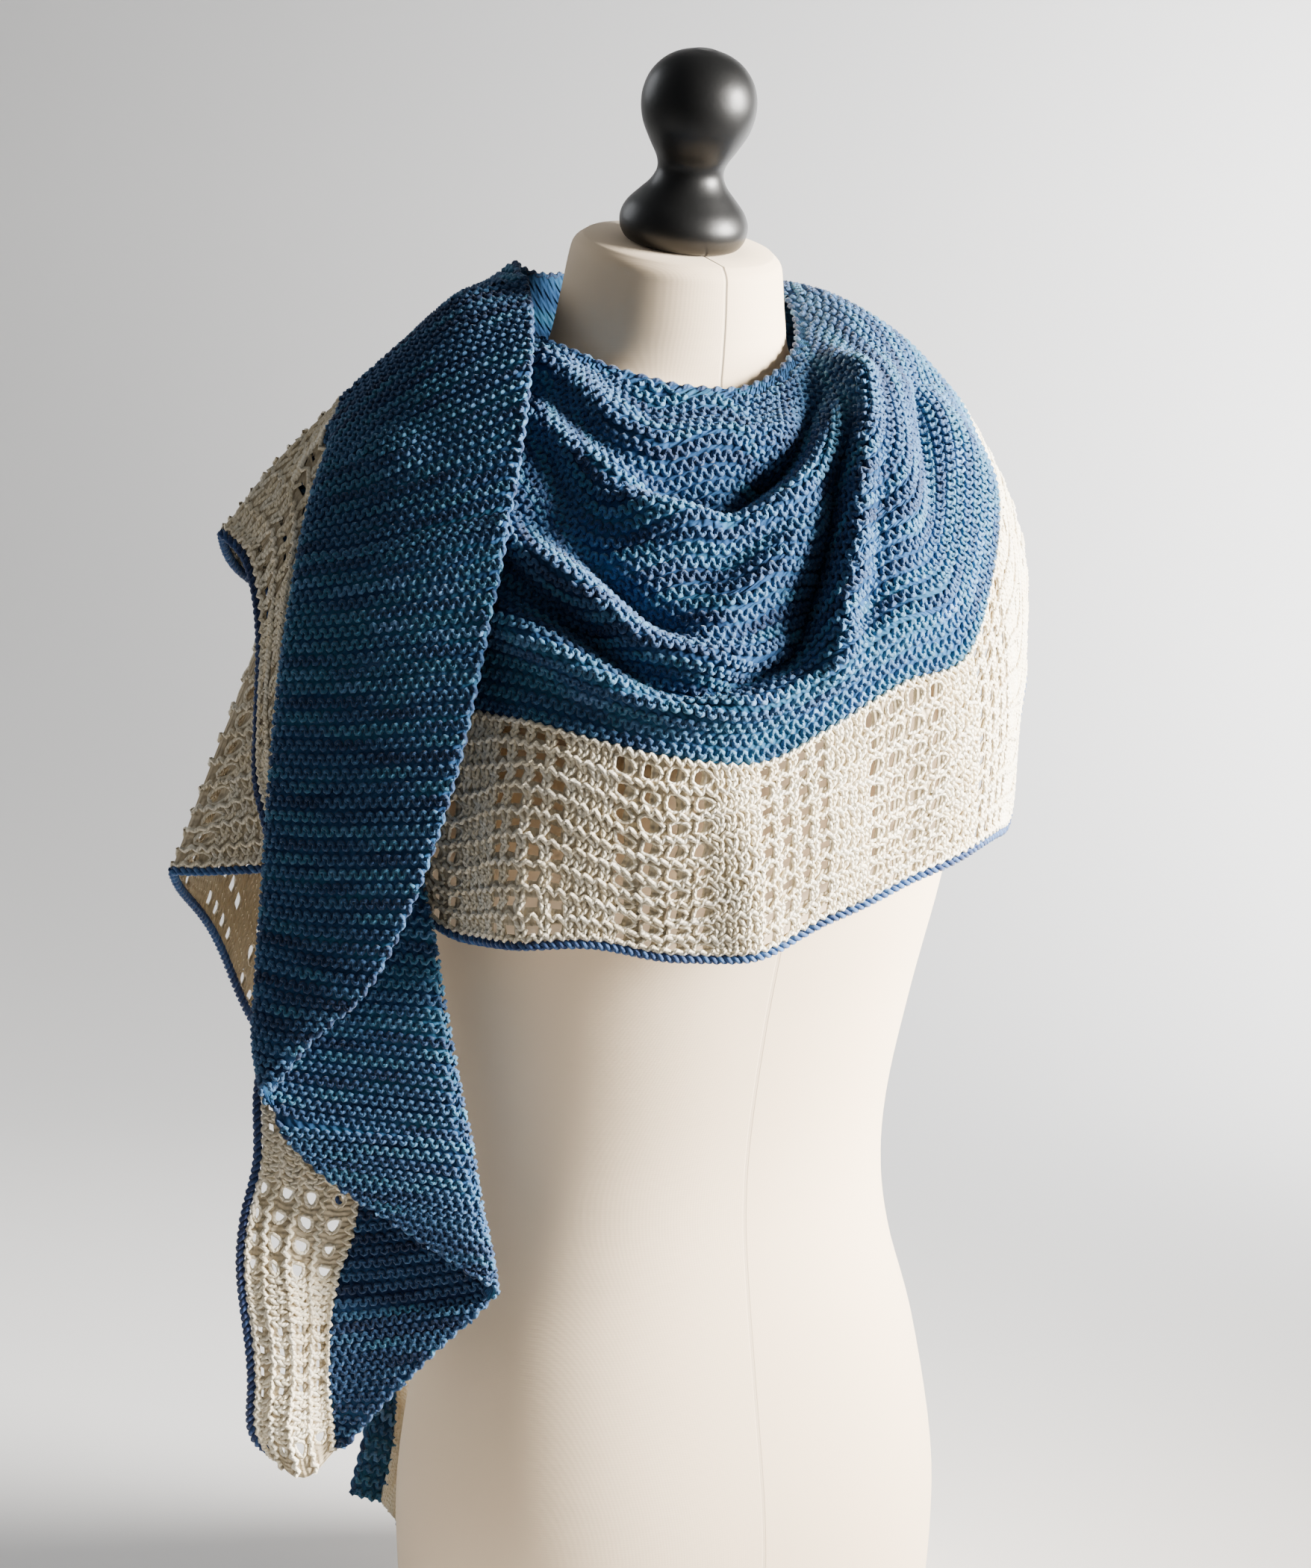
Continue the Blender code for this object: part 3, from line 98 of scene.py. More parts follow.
# height, half width, reach to the front, reach to the back, middle moved back, roundness, tilt
FORM_RINGS = [
    (0, 145, 100, 106, 0, 2.3, 0),
    (6, 148, 103, 108, 0, 2.3, 0),
    (60, 152, 109, 113, 0, 2.3, 0),
    (110, 151, 109, 112, 0, 2.3, 0),
    (180, 140, 98, 100, 0, 2.3, 0),
    (230, 127, 90, 90, 0, 2.2, 0),
    (268, 122, 87, 87, 0, 2.2, 0),
    (310, 124, 92, 88, 0, 2.2, 0),
    (370, 133, 108, 93, 0, 2.3, 0),
    (430, 143, 128, 99, 0, 2.4, 0),
    (480, 149, 137, 103, 0, 2.5, 0),
    (530, 153, 128, 106, 0, 2.5, 0),
    (580, 160, 108, 107, 0, 2.5, 0),
    (620, 170, 88, 103, 0, 2.6, 0),
    (645, 176, 76, 96, 2, 2.6, 0),
    (660, 170, 69, 88, 3, 2.4, 0),
    (673, 140, 65, 80, 3, 2.2, 0),
    (684, 104, 62, 72, 3, 2.1, 0),
    (696, 76, 60, 64, 2, 2.0, 3),
    (712, 64, 60, 60, 0, 2.0, 6),
    (733, 59, 58, 57, -4, 2.0, 11),
    (752, 56, 55, 55, -8, 2.0, 15),
    (760, 54, 53, 53, -10, 2.0, 16),
    (764.5, 49, 48, 48, -11.5, 2.0, 16),
]

# along the knob's own axis, radius
KNOB_PROFILE = [
    (0.0, 26.5),
    (1.5, 29.8),
    (6.0, 32.6),
    (12.5, 33.3),
    (19.0, 30.6),
    (25.0, 25.4),
    (31.0, 20.0),
    (37.0, 17.3),
    (43.0, 18.2),
    (51.0, 22.8),
    (60.0, 27.4),
    (69.0, 29.5),
    (77.0, 29.2),
    (85.0, 26.4),
    (92.0, 20.8),
    (96.5, 13.6),
    (99.0, 5.0),
]

# Sections round the body, from the right side over the chest, the left shoulder and the back.
# turn from the front toward the left, then out from the axis and height of:
# neck edge, upper, chest, lace line, middle of the lace, hem
WRAP = [
    (-100, 84, 722, 148, 692, 190, 648, 218, 562, 243, 502, 265, 447),
    (-90, 80, 717, 140, 686, 178, 638, 196, 557, 200, 497, 206, 443),
    (-80, 76, 713, 130, 678, 164, 628, 176, 552, 175, 492, 174, 436),
    (-63, 72, 706, 116, 660, 146, 604, 162, 536, 167, 480, 168, 421),
    (-50, 71, 700, 112, 652, 146, 596, 166, 532, 174, 477, 176, 419),
    (-38, 70, 696, 108, 646, 144, 588, 165, 524, 172, 472, 173, 424),
    (-25, 70, 692, 105, 640, 142, 580, 163, 516, 168, 467, 168, 420),
    (-10, 70, 690, 103, 638, 137, 578, 159, 513, 165, 464, 164, 416),
    (3, 70, 690, 103, 642, 137, 586, 159, 529, 166, 478, 165, 432),
    (16, 70, 694, 106, 654, 142, 604, 166, 548, 170, 499, 170, 449),
    (30, 70, 702, 110, 672, 152, 624, 177, 560, 182, 508, 179, 455),
    (40, 69, 708, 110, 687, 152, 646, 176, 594, 184, 530, 180, 458),
    (50, 68, 714, 106, 703, 147, 674, 173, 632, 184, 556, 181, 465),
    (63, 67, 721, 98, 720, 133, 700, 162, 662, 186, 588, 185, 503),
    (76, 68, 729, 99, 730, 132, 712, 158, 684, 194, 615, 200, 532),
    (90, 71, 737, 98, 738, 125, 722, 150, 700, 198, 640, 212, 556),
    (105, 79, 743, 102, 741, 128, 723, 152, 694, 196, 630, 212, 558),
    (120, 87, 746, 106, 735, 132, 708, 154, 668, 184, 612, 196, 546),
    (150, 91, 748, 108, 722, 122, 680, 132, 636, 142, 578, 150, 518),
    (180, 90, 750, 104, 715, 114, 666, 121, 612, 127, 554, 132, 492),
    (210, 88, 752, 108, 722, 124, 684, 136, 634, 146, 576, 154, 516),
    (235, 81, 755, 112, 735, 142, 702, 164, 664, 192, 618, 210, 568),
    (258, 76, 752, 106, 739, 138, 714, 172, 685, 206, 653, 236, 617),
]
WRAP_START = -100.0
WRAP_MEET = 90.0
WRAP_END = 258.0

# The wing that hangs behind: station, then turn, out and height of neck edge, lace line, hem
TAIL = [
    (0, -100, 84, 722, -100, 218, 562, -100, 265, 447),
    (1, -122, 92, 728, -116, 206, 560, -110, 250, 410),
    (2, -144, 104, 684, -130, 188, 492, -122, 232, 352),
    (3, -153, 116, 590, -138, 176, 410, -131, 216, 290),
    (4, -153, 126, 480, -142, 170, 330, -138, 206, 232),
    (5, -147, 138, 360, -141, 166, 258, -145, 196, 182),
    (6, -135, 154, 240, -134, 162, 186, -148, 178, 134),
    (7, -122, 167, 126, -127, 157, 112, -139, 153, 86),
    (8, -121, 178, 76, -126, 164, 66, -124, 150, 52),
]
TAIL_END = 8.0

# The falling wing, set out on the sight line: station, across, height, toward
FALL_NECK_EDGE = [
    (0, -76, 752, 18),
    (1, -73, 726, 66),
    (2, -76, 680, 110),
    (3, -85, 622, 138),
    (4, -98, 556, 156),
    (5, -113, 488, 168),
    (6, -134, 424, 172),
    (7, -160, 372, 170),
    (8, -191, 343, 165),
    (9, -212, 317, 158),
]
FALL_SECOND_EDGE = [
    (9, -210, 297, 142),
    (10, -186, 272, 141),
    (11, -140, 241, 138),
    (12, -100, 215, 134),
]
FALL_THIRD_EDGE = [
    (12, -96, 202, 124),
    (13, -124, 177, 123),
    (14, -158, 143, 121),
    (15, -174, 124, 119),
]
FALL_LEFT_FOLD = [
    (0, -171, 685, 45),
    (1, -181, 660, 74),
    (2, -190, 634, 92),
    (3, -198, 596, 110),
    (4, -206, 546, 124),
    (5, -212, 486, 134),
    (6, -216, 426, 141),
    (7, -219, 382, 146),
    (8, -221, 346, 149),
    (9, -218, 322, 151),
]
FALL_LEFT_TUCK = [
    (0, -171, 685, 45),
    (1, -178, 655, 64),
    (2, -186, 624, 80),
    (3, -190, 590, 97),
    (4, -198, 541, 111),
    (5, -204, 482, 121),
    (6, -208, 422, 128),
    (7, -212, 376, 133),
    (8, -215, 338, 137),
    (9, -211, 306, 141),
]
FALL_RIGHT_FOLD = [
    (3, -178, 586, 103),
    (4, -162, 536, 119),
    (5, -146, 476, 132),
    (6, -129, 410, 138),
    (7, -122, 366, 140),
    (8, -114, 322, 140),
    (9, -107, 288, 138),
    (10, -101, 252, 136),
    (11, -96, 228, 134),
    (12, -93, 210, 131),
]
FALL_RIGHT_TUCK = [
    (3, -180, 582, 94),
    (4, -167, 532, 107),
    (5, -153, 472, 118),
    (6, -137, 406, 124),
    (7, -130, 361, 126),
    (8, -122, 317, 126),
    (9, -115, 283, 125),
    (10, -109, 247, 124),
    (11, -103, 223, 123),
    (12, -97, 203, 123),
]
FALL_LACE_LINE = [
    (0, -171, 685, 45),
    (1, -178, 655, 64),
    (2, -186, 624, 80),
    (3, -190, 578, 87),
    (4, -188, 524, 97),
    (5, -184, 464, 106),
    (6, -179, 400, 112),
    (7, -175, 352, 116),
    (8, -170, 308, 118),
    (9, -165, 268, 119),
    (10, -169, 238, 119),
    (11, -177, 214, 119),
    (12, -181, 190, 119),
    (13, -182, 166, 119),
    (14, -180, 144, 118),
    (15, -178, 124, 117),
]
FALL_HEM = [
    (0, -236, 617, 61),
    (1, -227, 588, 72),
    (2, -221, 552, 82),
    (3, -220, 512, 90),
    (4, -221, 474, 98),
    (5, -217, 436, 106),
    (6, -214, 396, 114),
    (7, -218, 350, 121),
    (8, -227, 313, 126),
    (9, -224, 276, 130),
    (10, -227, 246, 131),
    (11, -230, 218, 131),
    (12, -231, 190, 130),
    (13, -230, 160, 128),
    (14, -227, 134, 125),
    (15, -212, 111, 121),
]

# Stations where the falling wing first turns back, where its panel and its flare end, and its tip
FALL_TURNS_BACK = 3.0
FALL_PANEL_END = 9.0
FALL_FLARE_END = 12.0
FALL_END = 15.0

# Stretches of the falling wing: first station, last station, points along
FALL_STRETCHES = [
    (0.0, 2.999, 34),
    (FALL_TURNS_BACK, FALL_PANEL_END, 78),
    (9.077, FALL_FLARE_END, 38),
    (12.077, FALL_END, 30),
]

# Folds of the chest, set out on the sight line.  Each row: across, height, depth, width.
# A ridge stands out by its depth, a valley goes in by it.
NECK_ROLL = [
    (-86, 714, 4.3, 9), (-52, 692, 5.2, 10), (-22, 665, 6.1, 11), (-5, 659, 6.4, 12),
    (28, 661, 6.1, 12), (50, 662, 5.2, 11), (66, 668, 4.3, 10),
]
VALLEY_UNDER_ROLL = [
    (-60, 652, -3.5, 8), (-26, 634, -5.8, 8), (4, 630, -7.2, 8), (30, 621, -10.2, 7),
    (50, 638, -11.0, 7), (65, 652, -10.2, 7), (76, 675, -7.2, 7), (84, 688, -4.3, 8),
]
UPPER_SWAG = [
    (-69, 671, 5.8, 10), (-50, 652, 8.7, 10), (-32, 638, 11.0, 11), (-15, 624, 12.2, 11),
    (0, 618, 12.2, 11), (20, 615, 12.2, 11), (40, 618, 11.6, 10), (60, 628, 10.2, 9),
    (75, 642, 8.7, 9), (88, 665, 7.2, 9), (90, 685, 4.3, 9),
]
VALLEY_UNDER_SWAG = [
    (-80, 632, -5.8, 7), (-60, 615, -9.6, 7), (-35, 592, -10.7, 7), (-10, 570, -8.7, 8),
    (8, 560, -4.3, 9),
]
MIDDLE_SWAG = [
    (-85, 615, 8.7, 9), (-68, 598, 11.0, 9), (-50, 585, 11.6, 9), (-30, 568, 11.6, 9),
    (-15, 555, 11.3, 9), (0, 548, 10.7, 9), (20, 542, 10.2, 10), (42, 545, 8.1, 10),
    (60, 548, 5.8, 10),
]
RISING_FACE = [
    (18, 562, 2.9, 12), (40, 580, 5.8, 13), (60, 600, 6.7, 13), (75, 622, 5.8, 12),
]
VALLEY_UNDER_MIDDLE = [
    (-95, 600, -5.8, 7), (-60, 570, -9.3, 7), (-35, 548, -10.7, 7), (-10, 530, -11.3, 7),
    (10, 525, -10.7, 7), (30, 528, -9.6, 7), (50, 538, -8.7, 7), (65, 545, -5.8, 7),
]
LOWER_SWAG = [
    (-98, 580, 5.8, 9), (-80, 565, 8.7, 10), (-60, 552, 10.7, 10), (-40, 541, 11.6, 10),
    (-20, 530, 11.9, 10), (0, 522, 11.9, 10), (20, 520, 11.6, 10), (45, 522, 11.0, 10),
    (65, 530, 10.2, 11), (90, 542, 9.3, 12), (115, 560, 7.2, 13), (140, 580, 4.3, 13),
]
PLEAT_VALLEY = [
    (98, 678, -7.2, 7), (92, 640, -13.0, 6), (88, 610, -15.9, 6), (82, 585, -15.9, 6),
    (75, 560, -11.6, 6), (62, 542, -5.8, 6),
]
PLEAT_RIDGE = [
    (90, 702, 4.3, 7), (101, 692, 8.7, 7), (101, 660, 11.6, 8), (98, 625, 13.0, 8),
    (94, 590, 12.5, 9), (88, 560, 10.2, 9), (84, 545, 5.8, 9),
]
SHOULDER_CREASE = [
    (120, 706, -2.9, 9), (134, 698, -4.9, 9), (137, 680, -5.8, 10), (141, 642, -3.8, 10),
    (140, 610, -1.4, 11),
]
OUTER_SWELL = [
    (116, 700, 2.9, 12), (118, 660, 5.8, 13), (120, 620, 5.8, 14), (118, 590, 4.3, 14),
]
LACE_FLUTE_A = [
    (-90, 500, 2.0, 12), (-84, 470, 4.0, 13), (-80, 440, 6.0, 14), (-80, 400, 7.0, 15),
]
LACE_FLUTE_B = [
    (36, 500, 1.5, 14), (40, 460, 4.0, 15), (44, 430, 6.0, 16), (44, 392, 7.0, 17),
]
LACE_HOLLOW_A = [
    (-30, 500, -1.0, 16), (-26, 460, -2.6, 18), (-24, 430, -4.0, 20), (-24, 400, -5.0, 22),
]
LACE_HOLLOW_B = [
    (112, 530, -1.0, 16), (122, 500, -2.6, 16), (126, 470, -3.6, 16), (128, 440, -4.0, 16),
]
CHEST_FOLDS = [
    NECK_ROLL, VALLEY_UNDER_ROLL, UPPER_SWAG, VALLEY_UNDER_SWAG, MIDDLE_SWAG, RISING_FACE,
    VALLEY_UNDER_MIDDLE, LOWER_SWAG, PLEAT_VALLEY, PLEAT_RIDGE, SHOULDER_CREASE, OUTER_SWELL,
    LACE_FLUTE_A, LACE_FLUTE_B, LACE_HOLLOW_A, LACE_HOLLOW_B,
]

# Turns between which the folds of the chest and of the back set in and die out
CHEST_FOLD_TURNS = (-88.0, -70.0, 62.0, 84.0)
BACK_FOLD_TURNS = (84.0, 104.0, 244.0, 256.0)

# Folds of the back and the left shoulder: turn and height at the top, turn and height at the
# bottom, depth, width
BACK_FOLDS = [
    (112, 745, 104, 575, 5.0, 9),
    (133, 740, 124, 560, -5.0, 9),
    (148, 735, 146, 530, 4.5, 10),
    (164, 742, 168, 520, -4.0, 10),
    (186, 735, 184, 500, 5.0, 11),
    (203, 742, 207, 520, -4.5, 10),
    (221, 745, 224, 560, 5.0, 9),
    (238, 745, 241, 590, -4.0, 8),
]

# Yarn and stitches
RIDGE_PITCH = 7.8
STITCH_PITCH = 5.8
STEPS_A_STITCH = 8
HIDDEN_STEPS = 6
RIDGE_WAVE = 1.95
RIDGE_LEAN = 0.5
RIDGE_STAND = 0.55
RIDGE_SWELL = 1.0
GARTER_YARN = 1.35
GARTER_WALL = 1.8
SELVAGE_YARN = 1.35
SELVAGE_INSET = 0.15
# Painted shade: how far the selvage bead's tone is lowered, so the edge standing up into the light
# reads darker
SELVAGE_PAINTED_SHADE = 0.55
FOOT_ROWS = 14
FOOT_BULGE = 8.0
FOOT_LIFT = 11.0
PEAK_DROP = 6.0
PEAK_REACH = 42.0
LACE_WALL = 0.9
LACE_YARN = 1.02
LACE_WAVE = 1.45
LACE_DEPTH = 120.0
BAND_PITCH = 12.0
OPENING_TOP = 3.7
LADDER_PITCH = 11.0
LADDER_WIDTH = 5.4
LADDERS_PER_REPEAT = 4
ROW_DIP = 9.5
ROW_EASE = 4
HOLE_LEAN = 1.1
CORNER_CUT = 1.6
CORNER_PULL = 0.22
CELL_LENGTH = 5.5
LONGEST_CELL = 9.0
END_MARGIN = 1.5
MIDDLE_SHARE = 0.6
FALL_OPENING_SHARE = 0.72

# Slanting stitches of the lace, down from the top of their band
STITCH_TOP = 2.3
STITCH_DROP = 4.6
STITCH_LENGTH = 5.4
STITCH_LEAN = 2.1
RING_STEPS = 10
EDGE_TWIST = 7.4
EDGE_LAY = 1.25
EDGE_YARN = 1.4

# Studio
CAMERA_LENS = 64.97
CAMERA_SENSOR = 36.0
FILL_LIGHT = 0.22
FLOOR_REACH = 6.0
FLOOR_FLAT = 1.1
FLOOR_BEND = 0.9
BEND_STEPS = 12
WALL_HEIGHT = 4.0

# Lamps, in metres: name, place and aim as right, toward and height, size, power, colour, spread
LAMPS = [
    ("key", (1.48, 0.27, 0.90), (0.0, 0.0, 0.5), 0.8, 42.0, (1.0, 0.97, 0.92), 62),
    ("window", (1.5, -0.8, 1.0), (0.8, -2.0, 0.3), 0.7, 105.0, (1.0, 1.0, 1.0), 160),
    ("rim", (-1.5, -0.9, 1.5), (0.0, 0.0, 0.5), 1.2, 3.0, (0.93, 0.96, 1.0), 90),
]


# Numbers and curves

def through(table, at):
    """Smooth values of a table's columns at the places given; its first column is the place."""
    table = np.asarray(table, float)
    at = np.asarray(at, float)
    place, value = table[:, 0], table[:, 1:]
    slope = np.gradient(value, place, axis=0)
    i = np.clip(np.searchsorted(place, at, side="right") - 1, 0, len(place) - 2)
    step = (place[i + 1] - place[i])[:, None]
    t = (at - place[i])[:, None] / step
    start = value[i] * (1 + 2 * t) * (1 - t) ** 2 + slope[i] * step * t * (1 - t) ** 2
    finish = value[i + 1] * t ** 2 * (3 - 2 * t) - slope[i + 1] * step * t ** 2 * (1 - t)
    return start + finish


def unit(vectors):
    """Vectors at length one."""
    length = np.linalg.norm(vectors, axis=-1, keepdims=True)
    return vectors / np.maximum(length, 1e-9)


def run_along(points):
    """Length of a line of points from its first to each of them."""
    return np.concatenate([[0], np.cumsum(np.linalg.norm(np.diff(points, axis=0), axis=-1))])


def even(count):
    """Shares from 0 to 1 in even steps."""
    return np.linspace(0, 1, count)


def with_neighbours(values, own):
    """Each value of a grid times a weight of its own, and the four round it added."""
    wide = np.pad(values, ((1, 1), (1, 1), (0, 0)), mode="edge")
    return own * values + wide[:-2, 1:-1] + wide[2:, 1:-1] + wide[1:-1, :-2] + wide[1:-1, 2:]


def ring_quads(index):
    """Faces between rings of vertex numbers that lie one above another."""
    low, high = index[:-1], index[1:]
    return np.stack([low, np.roll(low, -1, 1), np.roll(high, -1, 1), high], -1).reshape(-1, 4)


def smooth_step(value, low, high):
    """0 below low, 1 above high, eased between them."""
    t = np.clip((np.asarray(value, float) - low) / (high - low), 0, 1)
    return t * t * (3 - 2 * t)


def around(turn, out, height):
    """A place from its turn about the axis, its distance from it and its height."""
    angle = np.radians(turn)
    return np.stack([out * np.sin(angle), -out * np.cos(angle), height + 0 * out], axis=-1)


def sight_axes():
    """Right, toward and up of the sight line, with its eye and its aim."""
    turn = math.radians(SIGHT_TURN)
    right = np.array([math.cos(turn), -math.sin(turn), 0.0])
    toward = np.array([-math.sin(turn), -math.cos(turn), 0.0])
    rise = np.array([0.0, 0.0, 1.0])
    aim = right * SIGHT_AIM_ASIDE + rise * SIGHT_AIM_HEIGHT
    eye = right * SIGHT_AIM_ASIDE + toward * SIGHT_BACK + rise * SIGHT_HEIGHT
    forward = (aim - eye) / np.linalg.norm(aim - eye)
    up = np.cross(right, forward)
    return right, toward, up, forward, eye, aim


def seen(across, height, toward):
    """The place on a sight line: across and height where it is read, toward how near it lies."""
    right, near, up, _, eye, aim = sight_axes()
    across, height, toward = (np.asarray(v, float)[..., None] for v in (across, height, toward))
    line = aim + right * (across - SIGHT_AIM_ASIDE) + up * (height - SIGHT_AIM_HEIGHT) - eye
    reach = (toward[..., 0] - eye @ near) / (line @ near)
    return eye + line * reach[..., None]


def read_off(points):
    """Across and height at which places are read along the sight line."""
    right, _, up, forward, eye, aim = sight_axes()
    line = points - eye
    scale = np.linalg.norm(aim - eye) / (line @ forward)
    across = line @ right * scale + SIGHT_AIM_ASIDE
    height = line @ up * scale + SIGHT_AIM_HEIGHT
    return across, height


def curve_through(knots):
    """Fine points of a smooth curve through knots [..., knot, xyz], and the knots' indices."""
    knots = np.asarray(knots, float)
    step = np.linalg.norm(np.diff(knots, axis=-2), axis=-1) ** 0.5
    place = np.concatenate([np.zeros(step.shape[:-1] + (1,)), np.cumsum(step, -1)], -1)
    rows = []
    last = knots.shape[-2] - 1
    for k in range(last):
        a, b = knots[..., k, :], knots[..., k + 1, :]
        h = (place[..., k + 1] - place[..., k])[..., None]
        slope_a = knot_slope(knots, place, k, last)
        slope_b = knot_slope(knots, place, k + 1, last)
        for j in range(FINE_STEPS):
            t = j / FINE_STEPS
            rows.append(a * (1 + 2 * t) * (1 - t) ** 2 + slope_a * h * t * (1 - t) ** 2
                        + b * t * t * (3 - 2 * t) - slope_b * h * t * t * (1 - t))
    rows.append(knots[..., last, :])
    return np.stack(rows, axis=-2), [k * FINE_STEPS for k in range(last + 1)]


def knot_slope(knots, place, k, last):
    """Slope of the curve at one knot."""
    low, high = max(k - 1, 0), min(k + 1, last)
    run = (place[..., high] - place[..., low])[..., None]
    chord = (knots[..., high, :] - knots[..., low, :]) / run
    if 0 < k < last:
        h0 = (place[..., k] - place[..., k - 1])[..., None]
        h1 = (place[..., k + 1] - place[..., k])[..., None]
        d0 = (knots[..., k, :] - knots[..., k - 1, :]) / h0
        d1 = (knots[..., k + 1, :] - knots[..., k, :]) / h1
        chord = (d0 * h1 + d1 * h0) / (h0 + h1)
    return chord


def share_out(fine, first, last, shares):
    """Points of fine curves [row, point, xyz] at shares of the length between two indices."""
    part = fine[:, first:last + 1]
    step = np.linalg.norm(np.diff(part, axis=1), axis=-1)
    run = np.concatenate([np.zeros((len(part), 1)), np.cumsum(step, 1)], 1)
    result = np.empty((len(part), len(shares), 3))
    for row in range(len(part)):
        want = np.asarray(shares) * run[row, -1]
        for axis in range(3):
            result[row, :, axis] = np.interp(want, run[row], part[row, :, axis])
    return result


def normals(grid):
    """Unit normals of a grid of points, to the side where stations cross depth."""
    along = np.gradient(grid, axis=0)
    down = np.gradient(grid, axis=1)
    return unit(np.cross(down, along))


def fold_depth(points, folds):
    """How far folds read on the sight line move the cloth out at each place."""
    across, height = read_off(points)
    total = np.zeros(across.shape)
    for table in folds:
        rows = np.asarray(table, float)
        place = np.arange(len(rows), dtype=float)
        fine = through(np.column_stack([place, rows]), np.linspace(0, len(rows) - 1, 60))
        gap_a = across[..., None] - fine[:, 0]
        gap_h = height[..., None] - fine[:, 1]
        square = gap_a ** 2 + gap_h ** 2
        nearest = np.argmin(square, axis=-1)
        width = np.maximum(fine[nearest, 3], NARROWEST_FOLD)
        distance = np.sqrt(np.take_along_axis(square, nearest[..., None], -1)[..., 0])
        share = (fine[nearest, 3] / width) ** 0.6
        point = np.where(fine[nearest, 2] < 0, CREASE_POINT, 2.0)
        total += FOLD_BOOST * fine[nearest, 2] * share * np.exp(-(distance / width) ** point)
    return total


def back_fold_depth(turn, height):
    """How far the folds of the back move the cloth out."""
    total = np.zeros(np.shape(turn))
    for top_turn, top, low_turn, low, depth, width in BACK_FOLDS:
        t = np.clip((top - height) / (top - low), 0, 1)
        middle = top_turn + (low_turn - top_turn) * t
        swell = np.sin(np.pi * np.clip(0.12 + 0.8 * t, 0, 1)) ** 0.7
        total += depth * swell * np.exp(-((turn - middle) / width) ** 2)
    return total


class Layer:
    """An open surface that other cloth is kept outside of."""

    def __init__(self, grid, margin):
        rows, columns = grid.shape[:2]
        points = [Vector(p) for p in grid.reshape(-1, 3)]
        faces = []
        for i in range(rows - 1):
            for j in range(columns - 1):
                a = i * columns + j
                faces.append((a, a + 1, a + columns + 1, a + columns))
        self.tree = BVHTree.FromPolygons(points, faces)
        self.margin = margin

    def keep_out(self, grid):
        """The grid with every place that is too near moved outward."""
        moved = grid.copy()
        for index in np.ndindex(grid.shape[:2]):
            place = Vector(grid[index])
            hit, normal, _, _ = self.tree.find_nearest(place)
            if hit is None:
                continue
            out = (place - hit).dot(normal)
            aside = ((place - hit) - normal * out).length
            if -DEEPEST_UNDER < out < self.margin and aside < FARTHEST_BESIDE:
                moved[index] = np.array(place + normal * (self.margin - out))
        return moved


class Body:
    """A closed body that cloth rests on."""

    def __init__(self, points, faces):
        self.tree = BVHTree.FromPolygons([Vector(p) for p in points], faces)

    def keep_out(self, grid, margin):
        """The grid with every place that is too near moved outward."""
        moved = grid.copy()
        for index in np.ndindex(grid.shape[:2]):
            place = Vector(grid[index])
            hit, normal, _, _ = self.tree.find_nearest(place)
            out = (place - hit).dot(normal)
            if out < margin:
                moved[index] = np.array(hit + normal * margin)
        return moved


def form_rings(levels, count):
    """Rings of the dress form, bottom to top."""
    table = np.asarray(FORM_RINGS, float)
    order = np.column_stack([np.arange(len(table)), table])
    rows = through(order, np.linspace(0, len(table) - 1, levels))
    rings = []
    for height, half, front, back, moved, power, tilt in rows:
        ring = []
        for k in range(count):
            turn = 2 * math.pi * k / count
            s, c = math.sin(turn), -math.cos(turn)
            x = half * math.copysign(abs(s) ** (2 / power), s)
            reach = front if c < 0 else back
            y = reach * math.copysign(abs(c) ** (2 / power), c)
            z = height + y * math.tan(math.radians(tilt))
            ring.append(np.array([x, y + moved, z]))
        rings.append(ring)
    return rings


def knob_rings(count, profile):
    """Rings of the turned knob, foot to crown."""
    tilt = math.radians(KNOB_TILT)
    axis = np.array([0.0, -math.sin(tilt), math.cos(tilt)])
    side = np.array([1.0, 0.0, 0.0])
    other = np.cross(axis, side)
    foot = np.array([0.0, -KNOB_FOOT_FORWARD, KNOB_FOOT_HEIGHT])
    rings = []
    for along, radius in profile:
        ring = []
        for k in range(count):
            turn = 2 * math.pi * k / count
            ring.append(foot + axis * along
                        + radius * (math.cos(turn) * side + math.sin(turn) * other))
        rings.append(ring)
    return rings


def scallop(places):
    """How far the hem drops at places along the border."""
    return SCALLOP_DROP * 0.5 * np.cos(2 * np.pi * np.asarray(places) / REPEAT_LENGTH)


def wrap_sections(stations):
    """Fine section curves of the cloth round the body at the turns given, with knot indices."""
    rows = through(WRAP, stations)
    turn = np.asarray(stations, float)[:, None]
    knots = around(turn, rows[:, 0::2], rows[:, 1::2])
    return curve_through(knots)


def folded_wrap(grid, stations, calm):
    """The wrapped cloth with its folds, calmed by the shares given along its depth."""
    out = normals(grid)
    turn = np.broadcast_to(np.asarray(stations, float)[:, None], grid.shape[:2])
    low, in_full, out_full, high = CHEST_FOLD_TURNS
    front = smooth_step(turn, low, in_full) * (1 - smooth_step(turn, out_full, high))
    depth = fold_depth(grid, CHEST_FOLDS) * front
    low, in_full, out_full, high = BACK_FOLD_TURNS
    behind = back_fold_depth(turn, grid[..., 2]) * smooth_step(turn, low, in_full)
    depth += behind * (1 - smooth_step(turn, out_full, high))
    return grid + out * (depth * calm)[..., None]


